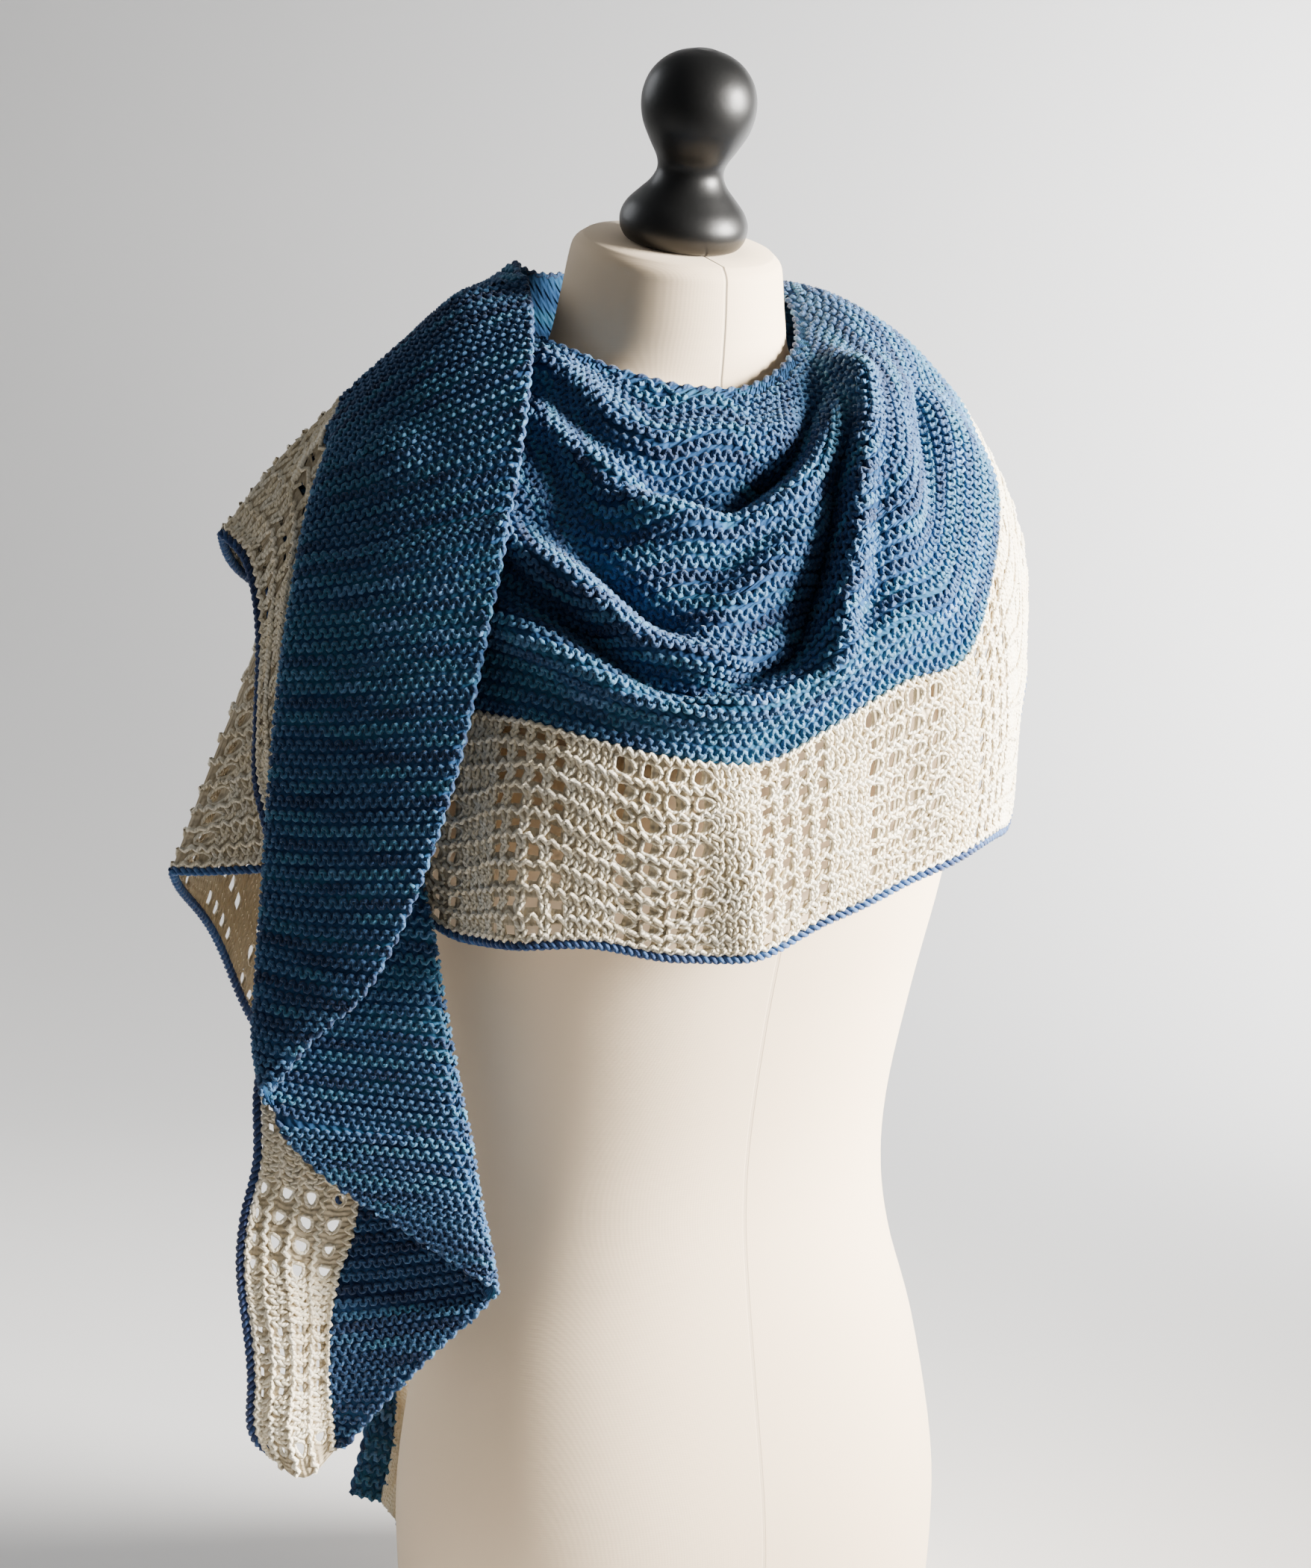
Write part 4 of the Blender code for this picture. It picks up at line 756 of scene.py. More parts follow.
def tail_sections(stations):
    """Fine section curves of the wing that hangs behind."""
    rows = through(TAIL, stations)
    rails = [around(rows[:, k], rows[:, k + 1], rows[:, k + 2]) for k in (0, 3, 6)]
    first = wrap_sections([WRAP_START])[0][0]
    share = np.asarray(stations, float)[:, None, None]
    fade = 1 - smooth_step(share, 0, 2.5)
    neck, line, hem = rails
    knots = []
    for t in (0.0, 0.33, 0.66):
        knots.append(neck + (line - neck) * t)
    knots.append(line)
    knots.append((line + hem) / 2)
    knots.append(hem)
    knots = np.stack(knots, axis=1)
    base = np.stack([first[k * FINE_STEPS] for k in range(HEM + 1)])
    straight = np.stack([knots[0][k] for k in range(HEM + 1)])
    knots = knots + (base - straight)[None] * fade
    return curve_through(knots)


def fall_knots(station):
    """Knots of one section of the falling wing, with the names of the places they mark."""
    def rail(table):
        row = through(table, [station])[0]
        return seen(row[0], row[1], row[2])

    line, hem = rail(FALL_LACE_LINE), rail(FALL_HEM)
    knots, names = [], []
    if station <= FALL_PANEL_END:
        edge, fold = rail(FALL_NECK_EDGE), rail(FALL_LEFT_FOLD)
        toward = sight_axes()[1]
        swell = toward * 9.0 * float(smooth_step(station, 0, 1.5))
        swell = swell * (1 - 0.5 * station / FALL_PANEL_END)
        lift = np.array([0.0, 0.0, 14.0]) * (1 - float(smooth_step(station, 0, 1.6)))
        knots += [edge, edge + (fold - edge) * 0.33 + swell * 0.8 + lift,
                  edge + (fold - edge) * 0.68 + swell + lift]
        names += ["edge", "", ""]
        if station >= FALL_TURNS_BACK:
            knots += [fold, rail(FALL_LEFT_TUCK)]
            names += ["", "left"]
        elif station > 0:
            knots += [fold]
            names += [""]
    if FALL_TURNS_BACK <= station <= FALL_FLARE_END:
        if station > FALL_PANEL_END:
            knots.append(rail(FALL_SECOND_EDGE))
            names.append("left")
        knots += [rail(FALL_RIGHT_FOLD), rail(FALL_RIGHT_TUCK)]
        names += ["", "right"]
    if station > FALL_FLARE_END:
        knots.append(rail(FALL_THIRD_EDGE))
        names.append("right")
    knots += [line, (line + hem) / 2 + sight_axes()[1] * 5.0, hem]
    names += ["line", "", "hem"]
    return knots, names


def fall_grid(stations, start, finish, shares):
    """A grid on the falling wing between two named places of its sections."""
    rows = []
    for station in stations:
        knots, names = fall_knots(float(station))
        fine, marks = curve_through(np.array(knots)[None])
        first, last = marks[names.index(start)], marks[names.index(finish)]
        rows.append(share_out(fine, first, last, shares)[0])
    return np.array(rows)


# Cloth surfaces at fine pitch

def rested(grid, pushes):
    """The grid pushed clear of what lies under it, the push eased into the cloth round it."""
    for _ in range(3):
        moved = grid
        for push in pushes:
            moved = push(moved)
        shift = moved - grid
        for _ in range(2):
            shift = with_neighbours(shift, 2) / 6
        grid = grid + shift
    for push in pushes:
        grid = push(grid)
    return grid


def rounded_foot(grid):
    """The grid with its last rows drawn into a soft round foot."""
    across = np.linspace(0, 1, grid.shape[1])
    near_end = np.clip((np.arange(len(grid)) - len(grid) + 1 + FOOT_ROWS) / FOOT_ROWS, 0, 1) ** 2
    grid = grid.copy()
    drop = FOOT_BULGE * np.sin(np.pi * across) - FOOT_LIFT * across ** 3
    grid[..., 2] -= near_end[:, None] * drop
    return grid


def rolled_over(grid, corner):
    """The grid with the peak at a corner lowered into a soft roll."""
    gap = np.linalg.norm(grid - corner, axis=-1) / PEAK_REACH
    grid = grid.copy()
    grid[..., 2] -= PEAK_DROP * np.clip(1 - gap ** 2, 0, 1) ** 2
    return grid


def tied(grid, first=None, top=None, reach=9):
    """The grid with its first and top edges brought onto the lines of its neighbours."""
    grid = grid.copy()
    if first is not None:
        place = np.linspace(0, 1, len(first))
        want = np.linspace(0, 1, grid.shape[1])
        target = np.stack([np.interp(want, place, first[:, k]) for k in range(3)], -1)
        shift = target - grid[0]
        for k in range(min(reach, len(grid) - 1)):
            grid[k] += shift * (1 - k / reach) ** 2
    if top is not None:
        line, known = top
        shift = (line - grid[:, 0]) * known[:, None]
        for k in range(min(reach, grid.shape[1] - 1)):
            grid[:, k] += shift * (1 - k / reach) ** 2
    return grid


class Cloth:
    """A cloth surface that can be read at any place of its grid."""

    def __init__(self, grid, facing=1.0):
        self.grid = grid
        side = normals(grid) * facing
        for _ in range(2):
            side = unit(with_neighbours(side, 4))
        self.side = side
        self.facing = facing
        along = np.linalg.norm(np.diff(grid, axis=0), axis=-1)
        down = np.linalg.norm(np.diff(grid, axis=1), axis=-1)
        self.run = np.concatenate([np.zeros((1, grid.shape[1])), np.cumsum(along, 0)], 0)
        self.drop = np.concatenate([np.zeros((grid.shape[0], 1)), np.cumsum(down, 1)], 1)

    def at(self, i, j):
        """Points and outward normals at fractional rows and depths."""
        rows, columns = self.grid.shape[:2]
        i = np.clip(np.asarray(i, float), 0, rows - 1)
        j = np.clip(np.asarray(j, float), 0, columns - 1)
        i0 = np.minimum(i.astype(int), rows - 2)
        j0 = np.minimum(j.astype(int), columns - 2)
        fi, fj = (i - i0)[..., None], (j - j0)[..., None]

        def mix(values):
            return ((values[i0, j0] * (1 - fj) + values[i0, j0 + 1] * fj) * (1 - fi)
                    + (values[i0 + 1, j0] * (1 - fj) + values[i0 + 1, j0 + 1] * fj) * fi)
        return mix(self.grid), unit(mix(self.side))


# Meshes

class Yarn:
    """Tubes of yarn gathered into one mesh, each vertex with its place along and round the yarn."""

    def __init__(self):
        self.points, self.faces, self.places = [], [], []
        self.count = 0

    def tubes(self, centre, out, radius, sides, tone):
        """Adds tubes through the points [tube, place, xyz], with their outward directions."""
        centre = np.asarray(centre, float)
        if centre.ndim == 2:
            centre, out = centre[None], out[None]
        tubes, places = centre.shape[:2]
        radius = np.broadcast_to(np.asarray(radius, float), (tubes, places))
        tone = np.broadcast_to(np.asarray(tone, float), (tubes, places))
        ahead = unit(np.gradient(centre, axis=1))
        up = unit(out - ahead * np.sum(out * ahead, axis=-1, keepdims=True))
        aside = np.cross(ahead, up)
        step = np.linalg.norm(np.diff(centre, axis=1), axis=-1)
        run = np.concatenate([np.zeros((tubes, 1)), np.cumsum(step, 1)], 1)
        turn = math.pi + 2 * math.pi * np.arange(sides) / sides
        ring = (up[:, :, None] * np.cos(turn)[None, None, :, None]
                + aside[:, :, None] * np.sin(turn)[None, None, :, None])
        points = centre[:, :, None] + ring * radius[:, :, None, None]
        facts = np.empty(points.shape)
        facts[..., 0] = run[:, :, None]
        facts[..., 1] = turn[None, None]
        facts[..., 2] = tone[:, :, None]
        index = np.arange(tubes * places * sides).reshape(tubes, places, sides) + self.count
        a = index[:, :-1]
        b = np.roll(a, -1, axis=2)
        d = index[:, 1:]
        c = np.roll(d, -1, axis=2)
        self.faces.append(np.stack([a, d, c, b], axis=-1).reshape(-1, 4))
        self.points.append(points.reshape(-1, 3))
        self.places.append(facts.reshape(-1, 3))
        self.count += tubes * places * sides

    def build(self, name, look):
        """The mesh object of all the yarn added."""
        return mesh_piece(name, np.concatenate(self.points), np.concatenate(self.faces),
                          look, "yarn", np.concatenate(self.places))


def mesh_piece(name, points, faces, look, fact=None, values=None):
    """A smooth mesh of quads in metres from points in millimetres, with a value a vertex if named."""
    mesh = bpy.data.meshes.new(name)
    quads = np.asarray(faces, np.int32).reshape(-1, 4)
    mesh.vertices.add(len(points))
    mesh.vertices.foreach_set("co", (np.asarray(points) * MM).astype(np.float32).ravel())
    mesh.loops.add(quads.size)
    mesh.loops.foreach_set("vertex_index", quads.ravel())
    mesh.polygons.add(len(quads))
    mesh.polygons.foreach_set("loop_start", np.arange(0, quads.size, 4, dtype=np.int32))
    mesh.polygons.foreach_set("use_smooth", np.ones(len(quads), dtype=bool))
    mesh.update(calc_edges=True)
    if fact:
        made = mesh.attributes.new(fact, "FLOAT_VECTOR", "POINT")
        made.data.foreach_set("vector", np.asarray(values, np.float32).ravel())
    mesh.materials.append(look)
    thing = bpy.data.objects.new(name, mesh)
    bpy.context.scene.collection.objects.link(thing)
    return thing


def shell(name, points, side, thickness, facts, look, holes=None):
    """A thin closed wall on a grid of points, with the cells named left open."""
    rows, columns = points.shape[:2]
    index = np.arange(rows * columns).reshape(rows, columns)
    keep = np.ones((rows - 1, columns - 1), bool) if holes is None else ~holes
    a, b, c, d = index[:-1, :-1], index[:-1, 1:], index[1:, 1:], index[1:, :-1]
    faces = np.stack([a, b, c, d], axis=-1)[keep]
    under = rows * columns
    back = faces[:, ::-1] + under
    rim = []
    wide = np.pad(keep, 1)
    for near, one, other in ((wide[1:-1, :-2], a, d), (wide[1:-1, 2:], c, b),
                             (wide[:-2, 1:-1], b, a), (wide[2:, 1:-1], d, c)):
        edge = keep & ~near
        rim.append(np.stack([one[edge], other[edge], other[edge] + under, one[edge] + under], -1))
    half = side * thickness / 2
    body = np.concatenate([(points + half).reshape(-1, 3), (points - half).reshape(-1, 3)])
    faces = np.concatenate([faces, back] + rim)
    used, place = np.unique(faces, return_inverse=True)
    values = np.concatenate([facts.reshape(-1, 3), facts.reshape(-1, 3)])[used]
    return mesh_piece(name, body[used], place.reshape(faces.shape), look, "knit", values)


# Garter stitch

def tone_at(along, row, seed):
    """Shade of the hand-dyed yarn, from -1 to 1, at places along rows."""
    along = np.asarray(along, float)
    row = np.asarray(row, float)
    slow = np.sin(along / 47 + row * 1.9 + seed) * 0.3 + np.sin(along / 13 + row * 2.63) * 0.3
    quick = np.sin(along / 5.3 + row * 4.1 + seed) * 0.18
    band = np.sin(row * 0.37 + seed * 1.3) * 0.16 + np.sin(row * 0.113 + 2.1 + seed) * 0.18
    return np.clip(slow + quick + band, -1, 1)


def garter_rows(cloth, across, pitch):
    """Fractional grid places of every ridge: rows along the cloth, or across it."""
    rows, columns = cloth.grid.shape[:2]
    lines = []
    if across:
        middle = cloth.run[:, columns // 2]
        for k in range(int((middle[-1] - 1) / pitch) + 1):
            i = np.interp((k + 0.5) * pitch, middle, np.arange(rows))
            j = np.linspace(0, columns - 1, 3 * columns)
            lines.append((k, np.full(len(j), i), j))
        return lines
    up = cloth.drop[:, -1:] - cloth.drop
    fine = np.linspace(0, rows - 1, 3 * rows)
    deepest = up[:, 0].max()
    for k in range(int(deepest / pitch) + 1):
        want = (k + 0.5) * pitch
        j = np.array([np.interp(want, up[i, ::-1], np.arange(columns)[::-1]) for i in range(rows)])
        wide = np.pad(j, ROW_EASE, mode="edge")
        j = np.convolve(wide, np.ones(2 * ROW_EASE + 1) / (2 * ROW_EASE + 1), mode="valid")
        inside = up[:, 0] > want + 1.5
        ends = np.interp(fine, np.arange(rows), inside.astype(float)) > 0.999
        j = np.interp(fine, np.arange(rows), j)
        breaks = np.flatnonzero(np.diff(ends.astype(int))) + 1
        for piece in np.split(np.arange(len(fine)), breaks):
            if ends[piece[0]] and len(piece) > 5:
                lines.append((k, fine[piece], j[piece]))
    return lines


def along_cloth(cloth, i, j, run, steps):
    """Even places along a line of grid places, with their points, normals and ways ahead."""
    place = np.linspace(0, run[-1], steps + 1)
    points, out = cloth.at(np.interp(place, run, i), np.interp(place, run, j))
    return place, points, out, unit(np.gradient(points, axis=0))


def add_ridge(yarn, cloth, k, i, j, seed, gauge, shade, fineness):
    """Adds one ridge of garter stitch: the yarn snakes up and down between its stitches."""
    run = run_along(cloth.at(i, j)[0])
    stitches = int(run[-1] / (STITCH_PITCH * gauge))
    if stitches < 1:
        return
    steps = stitches * fineness
    place, points, out, ahead = along_cloth(cloth, i, j, run, steps)
    up = np.cross(out, ahead)
    turn = 2 * math.pi * np.arange(steps + 1) / fineness + (k % 2) * 1.9 + k * 0.7
    uneven = 1 + 0.16 * np.sin(place * 0.31 + k * 2.3) * np.sin(place * 0.083 + k)
    crest = np.abs(np.sin(turn))
    points = (points + up * (np.sin(turn) * RIDGE_WAVE * uneven * gauge)[:, None]
              - ahead * (np.sin(2 * turn) * RIDGE_LEAN * gauge)[:, None]
              + out * (RIDGE_STAND + crest * RIDGE_SWELL)[:, None])
    thick = GARTER_YARN * (0.9 + 0.14 * crest) * (0.94 + 0.06 * uneven) * gauge
    # shade lowers the yarn's tone: a painted shade for stretches that lie in shadow
    yarn.tubes(points, out, thick, 4, tone_at(place, k, seed) + shade)


def add_selvage(yarn, cloth, i, j, seed):
    """Adds the beaded edge of the knitting along a line of grid places, darkened by a painted shade.
    """
    run = run_along(cloth.at(i, j)[0])
    steps = max(int(run[-1] / RIDGE_PITCH * 6), 6)
    place, points, out, ahead = along_cloth(cloth, i, j, run, steps)
    aside = np.cross(out, ahead)
    turn = 2 * math.pi * place / RIDGE_PITCH
    points = points + aside * (np.sin(turn) * 0.8)[:, None] + out * (0.5 * np.cos(turn))[:, None]
    # The bead's tone is lowered by a painted shade, so the raised edge does not read as lit
    tone = tone_at(place * 0.2, place / RIDGE_PITCH, seed) - SELVAGE_PAINTED_SHADE
    yarn.tubes(points, out, SELVAGE_YARN * (1 + 0.18 * np.cos(turn)), 6, np.clip(tone, -1, 1))


def garter_piece(node, cloth, across, seed, edge_from, gauge=1.0, shade=0.0,
                 fineness=STEPS_A_STITCH, far_edge=False):
    """One stretch of garter stitch: its wall, its ridges and its free edge."""
    rows, columns = cloth.grid.shape[:2]
    facts = np.zeros(cloth.grid.shape)
    if across:
        facts[..., 0] = cloth.drop / STITCH_PITCH
        facts[..., 1] = cloth.run[:, columns // 2][:, None] / RIDGE_PITCH
    else:
        facts[..., 0] = cloth.run / STITCH_PITCH
        facts[..., 1] = (cloth.drop[:, -1:] - cloth.drop) / RIDGE_PITCH
    # shade lowers the tone of wall and yarn alike: a painted shade for stretches that lie in shadow
    facts[..., 2] = tone_at(facts[..., 0] * STITCH_PITCH, facts[..., 1], seed) + shade
    i = np.unique(np.append(np.arange(0, rows, 2), rows - 1))
    j = np.unique(np.append(np.arange(0, columns, 2), columns - 1))
    coarse = np.ix_(i, j)
    points, side, facts = cloth.grid[coarse], cloth.side[coarse], facts[coarse]
    if cloth.facing < 0:
        points, side, facts = points[::-1], side[::-1], facts[::-1]
    wall = shell(node + "_cloth", points, side, GARTER_WALL, facts, LOOKS["garter"])
    yarn = Yarn()
    for k, i, j in garter_rows(cloth, across, RIDGE_PITCH * gauge):
        add_ridge(yarn, cloth, k, i, j, seed, gauge, shade, fineness)
    i = np.linspace(edge_from, rows - 1, 3 * rows)
    add_selvage(yarn, cloth, i, np.full(len(i), SELVAGE_INSET), seed)
    if far_edge:
        i = np.linspace(0, rows - 1, 3 * rows)
        add_selvage(yarn, cloth, i, np.full(len(i), columns - (1 + SELVAGE_INSET)), seed)
    knit = yarn.build(node + "_knit", LOOKS["garter_yarn"])
    ride_for(wall, knit, node)


def ride_for(wall, knit, node, more=()):
    """Lets a stretch of cloth and its yarn stand for their CAD node."""
    for piece in (wall, knit) + tuple(more):
        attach(piece, "root")
    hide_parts(node)


# Lace

def lace_warp(u, v, depth):
    """How far the lace's rows dip at a place along and down the border."""
    swell = np.clip(np.sin(np.pi * np.clip(v / depth, 0, 1)), 0, 1) ** 0.8
    return ROW_DIP * depth / LACE_DEPTH * np.cos(2 * np.pi * u / REPEAT_LENGTH) * swell


def wobble(u, v, phase):
    """Unevenness of hand knitting, in millimetres, at places of the lace."""
    return (np.sin(u * 0.137 + v * 0.21 + phase) * 0.5
            + np.sin(u * 0.41 - v * 0.33 + 2 * phase) * 0.32
            + np.sin(u * 0.071 + v * 0.67 + 3 * phase) * 0.3)


def lace_openings(share):
    """Places along one repeat of its openings: low, high, whether it is a large one."""
    wide = EYELET_PITCH * (EYELETS_PER_REPEAT - 1) / 2
    small = LADDER_PITCH * (LADDERS_PER_REPEAT - 1) / 2
    spans = []
    for k in range(EYELETS_PER_REPEAT):
        middle = EYELET_PITCH * k - wide
        spans.append((middle - EYELET_WIDTH * share / 2, middle + EYELET_WIDTH * share / 2, True))
    for k in range(LADDERS_PER_REPEAT):
        middle = REPEAT_LENGTH / 2 + LADDER_PITCH * k - small
        spans.append((middle - LADDER_WIDTH * share / 2, middle + LADDER_WIDTH * share / 2, False))
    return spans


class Lace:
    """One stretch of the border, read by millimetres along and down it."""

    def __init__(self, cloth, offset, open_share=1.0):
        self.cloth = cloth
        self.openings = lace_openings(open_share)
        self.open_height = EYELET_HEIGHT * open_share
        self.open_top = OPENING_TOP + (EYELET_HEIGHT - self.open_height) / 2
        self.middle = cloth.run[:, int(cloth.grid.shape[1] * MIDDLE_SHARE)]
        self.length = self.middle[-1]
        self.offset = offset
        self.bands = max(2, int(round(np.median(cloth.drop[:, -1]) / BAND_PITCH)))
        self.depth = self.bands * BAND_PITCH

    def at(self, u, v):
        """Points and outward normals, u from the repeat's own middle."""
        u, v = np.asarray(u, float), np.asarray(v, float)
        calm = np.clip(np.sin(np.pi * np.clip(v / self.depth, 0, 1)) * 4, 0, 1)
        lean = np.sin(2 * np.pi * (v - OPENING_TOP) / BAND_PITCH) * HOLE_LEAN
        ends = np.clip(np.minimum(u + self.offset, self.length - self.offset - u) / 12, 0, 1)
        u, v = (u + (wobble(u, v, 0.4) + lean) * calm * ends,
                v + lace_warp(u, v, self.depth) + wobble(u, v, 1.7) * calm)
        i = np.interp(u + self.offset, self.middle, np.arange(len(self.middle)))
        return self.cloth.at(i, v / self.depth * (self.cloth.grid.shape[1] - 1))

    def repeats(self):
        """Middles of the repeats that touch this stretch, in the border's own count."""
        first = math.floor(-self.offset / REPEAT_LENGTH) - 1
        last = math.ceil((self.length - self.offset) / REPEAT_LENGTH) + 1
        return [REPEAT_LENGTH * k for k in range(first, last + 1)]

    def inside(self, u, margin=0.0):
        """Whether places along the border lie on this stretch."""
        u = np.asarray(u, float) + self.offset
        return (u > margin) & (u < self.length - margin)


def lace_wall(name, lace):
    """The thin wall of the border with every opening left out."""
    lines, cuts = [-lace.offset, lace.length - lace.offset], []
    for middle in lace.repeats():
        for low, high, large in lace.openings:
            low, high = low + middle, high + middle
            if lace.inside(low, END_MARGIN) and lace.inside(high, END_MARGIN):
                lines += [low, high]
                cuts.append((low, high, large))
    lines = sorted(lines)
    places = [lines[0]]
    for place in lines[1:]:
        gap = place - places[-1]
        parts = max(1, int(math.ceil(gap / CELL_LENGTH))) if gap > LONGEST_CELL else 1
        for k in range(1, parts + 1):
            places.append(places[-1 - (k - 1)] + gap * k / parts)
    places = np.array(places)
    pierced = np.zeros(len(places) - 1, int)
    for low, high, large in cuts:
        k = int(np.argmin(np.abs(places - low)))
        pierced[k] = 2 if large else 1
    levels, open_level = [0.0], []
    for k in range(lace.bands):
        top = BAND_PITCH * k + lace.open_top
        foot = top + lace.open_height
        for level, state in ((top, 0), (top + CORNER_CUT, 2), (foot - CORNER_CUT, 3), (foot, 2)):
            levels.append(level)
            open_level.append(state)
    levels.append(lace.depth)
    open_level.append(0)
    levels = np.array(levels)
    u, v = np.meshgrid(places, levels, indexing="ij")
    for k in np.flatnonzero(pierced == 2):
        ends = [n for n in range(1, len(levels) - 1) if n % 4 in (1, 0)]
        pull = (places[k + 1] - places[k]) * CORNER_PULL
        u[k, ends] += pull
        u[k + 1, ends] -= pull
    points, side = lace.at(u, v)
    state = np.array(open_level)
    large, small = pierced[:, None] == 2, pierced[:, None] == 1
    holes = large & (state[None] >= 2) | small & (state[None] == 3)
    facts = np.stack([u, v, 0.4 * np.sin(u / 17 + v / 9)], axis=-1)
    if lace.cloth.facing < 0:
        points, side, facts, holes = points[::-1], side[::-1], facts[::-1], holes[::-1]
    return shell(name, points, side, LACE_WALL, facts, LOOKS["lace"], holes)


def add_lace_yarn(yarn, lace):
    """Adds the border's yarn: a purl ridge at each band, rings and slanting stitches."""
    steps = int(lace.length / STITCH_PITCH) * 5
    place = np.linspace(0.3, lace.length - 0.3, steps) - lace.offset
    turn = 2 * math.pi * (place + lace.offset) / STITCH_PITCH
    for k in range(lace.bands + 1):
        level = min(BAND_PITCH * k + 1.4, lace.depth - 1.3)
        wave = np.sin(turn + k * 1.3)
        v = level + wave * (LACE_WAVE + 0.25 * np.sin(place * 0.23 + k))
        points, out = lace.at(place + 0.5 * np.sin(2 * turn + 2.6 * k), v)
        stand = 1.0 + 0.6 * np.abs(wave)
        tone = 0.6 * np.sin(place / 31 + k) * np.sin(place / 7 + 2 * k)
        yarn.tubes(points + out * stand[:, None], out, LACE_YARN * 1.22, 4, tone)
    add_rings(yarn, lace)
    centre = []
    for middle in lace.repeats():
        spans = sorted(lace.openings)
        for k, (low, _, large) in enumerate(spans):
            _, before, large_before = spans[k - 1] if k else (
                0.0, spans[-1][1] - REPEAT_LENGTH, spans[-1][2])
            if large and large_before:
                continue
            gap = low - before
            count = max(1, int(round(gap / STITCH_PITCH)))
            centre += [middle + before + gap * (n + 0.5) / count for n in range(count)]
    centre = np.array(centre)
    centre = centre[lace.inside(centre, 2.4)]
    for k in range(lace.bands):
        top = BAND_PITCH * k + STITCH_TOP
        for half in range(2):
            low = top + half * STITCH_DROP
            for way in (-1.0, 1.0):
                t = np.array([0.0, 0.45, 1.0])[None]
                shift = (np.array([STITCH_LEAN, STITCH_LEAN * 0.66, 0.3])[None] * way
                         + 0.5 * np.sin(centre * 3.1 + k)[:, None])
                u = centre[:, None] + shift
                v = low + t * STITCH_LENGTH + 0 * u
                points, out = lace.at(u, np.minimum(v, lace.depth - 0.6))
                rise = np.array([0.15, 1.0, 0.35])[None, :, None]
                tone = np.repeat(0.5 * np.sin(centre * 1.7 + k * 2.2 + half)[:, None], 3, 1)
                yarn.tubes(points + out * rise, out, LACE_YARN * np.array([1.0, 1.18, 0.85])[None],
                           4, tone)


def add_rings(yarn, lace):
    """Adds the yarn that runs round each large opening."""
    turn = 2 * math.pi * np.arange(RING_STEPS + 1) / RING_STEPS
    for middle in lace.repeats():
        for low, high, large in lace.openings:
            centre = middle + (low + high) / 2
            if not large or not lace.inside(centre, EYELET_WIDTH / 2 + 2.0):
                continue
            k = np.arange(lace.bands)[:, None]
            grow = 1 + 0.1 * np.sin(centre * 0.7 + k * 1.9)
            u = centre + np.cos(turn)[None] * ((high - low) / 2 + 0.2) * grow
            v = (BAND_PITCH * k + OPENING_TOP + EYELET_HEIGHT / 2
                 + np.sin(turn)[None] * (lace.open_height / 2 + 0.25) * grow)
            points, out = lace.at(u, v)
            rise = 0.45 + 0.35 * np.cos(2 * turn)[None, :, None]
            tone = 0.4 * np.sin(centre + k * 2.1 + turn[None])
            yarn.tubes(points + out * rise, out, LACE_YARN * 1.02, 4, tone)


def add_edging(yarn, line, out, seed, shade):
    """Adds the bind-off: two plies laid round each other along the hem."""
    run = run_along(line)
    steps = int(run[-1] / EDGE_TWIST * 9)
    place = np.linspace(0, run[-1], steps + 1)
    centre = np.stack([np.interp(place, run, line[:, k]) for k in range(3)], -1)
    out = unit(np.stack([np.interp(place, run, out[:, k]) for k in range(3)], -1))
    ahead = unit(np.gradient(centre, axis=0))
    up = unit(out - ahead * np.sum(out * ahead, axis=-1, keepdims=True))
    aside = np.cross(ahead, up)
    for k in range(2):
        turn = 2 * math.pi * place / EDGE_TWIST + k * math.pi
        points = centre + EDGE_LAY * (up * np.cos(turn)[:, None] + aside * np.sin(turn)[:, None])
        # shade lowers the cord's tone: a painted shade where the hem lies in shadow
        yarn.tubes(points, up, EDGE_YARN * (1 + 0.08 * np.sin(place * 0.9 + k)), 5,
                   tone_at(place, 3 + 7 * k, seed) * 0.7 + shade)


def lace_piece(node, edge_node, lace, seed, shade=0.0):
    """One stretch of the border with its bind-off."""
    wall = lace_wall(node + "_cloth", lace)
    yarn = Yarn()
    add_lace_yarn(yarn, lace)
    knit = yarn.build(node + "_knit", LOOKS["lace_yarn"])
    grid = lace.cloth.grid
    hem = grid[:, -1]
    away = unit(grid[:, -1] - grid[:, -3])
    edge = Yarn()
    # shade darkens only the bind-off cord: a painted shade
    add_edging(edge, hem + away * (CORD_RADIUS + 0.2), lace.cloth.side[:, -1], seed, shade)
    cord = edge.build(edge_node + "_yarn", LOOKS["edge_yarn"])
    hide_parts(edge_node)
    ride_for(wall, knit, node, (cord,))


# Materials

def new_look(name, colour, rough):
    """A material with its nodes and its shader."""
    made = bpy.data.materials.new(name)
    made.use_nodes = True
    tree = made.node_tree
    shader = tree.nodes["Principled BSDF"]
    shader.inputs["Base Color"].default_value = tuple(colour) + (1.0,)
    shader.inputs["Roughness"].default_value = rough
    return made, tree, shader


def math_node(tree, kind, a, b=None, c=None):
    """A maths node fed by sockets or numbers, and its result."""
    node = tree.nodes.new("ShaderNodeMath")
    node.operation = kind
    for socket, value in zip(node.inputs, (a, b, c)):
        if value is None:
            continue
        if isinstance(value, (int, float)):
            socket.default_value = value
        else:
            tree.links.new(value, socket)
    return node.outputs[0]


def attribute_parts(tree, name):
    """The three values of a vertex attribute."""
    fact = tree.nodes.new("ShaderNodeAttribute")
    fact.attribute_name = name
    split = tree.nodes.new("ShaderNodeSeparateXYZ")
    tree.links.new(fact.outputs["Vector"], split.inputs[0])
    return split.outputs


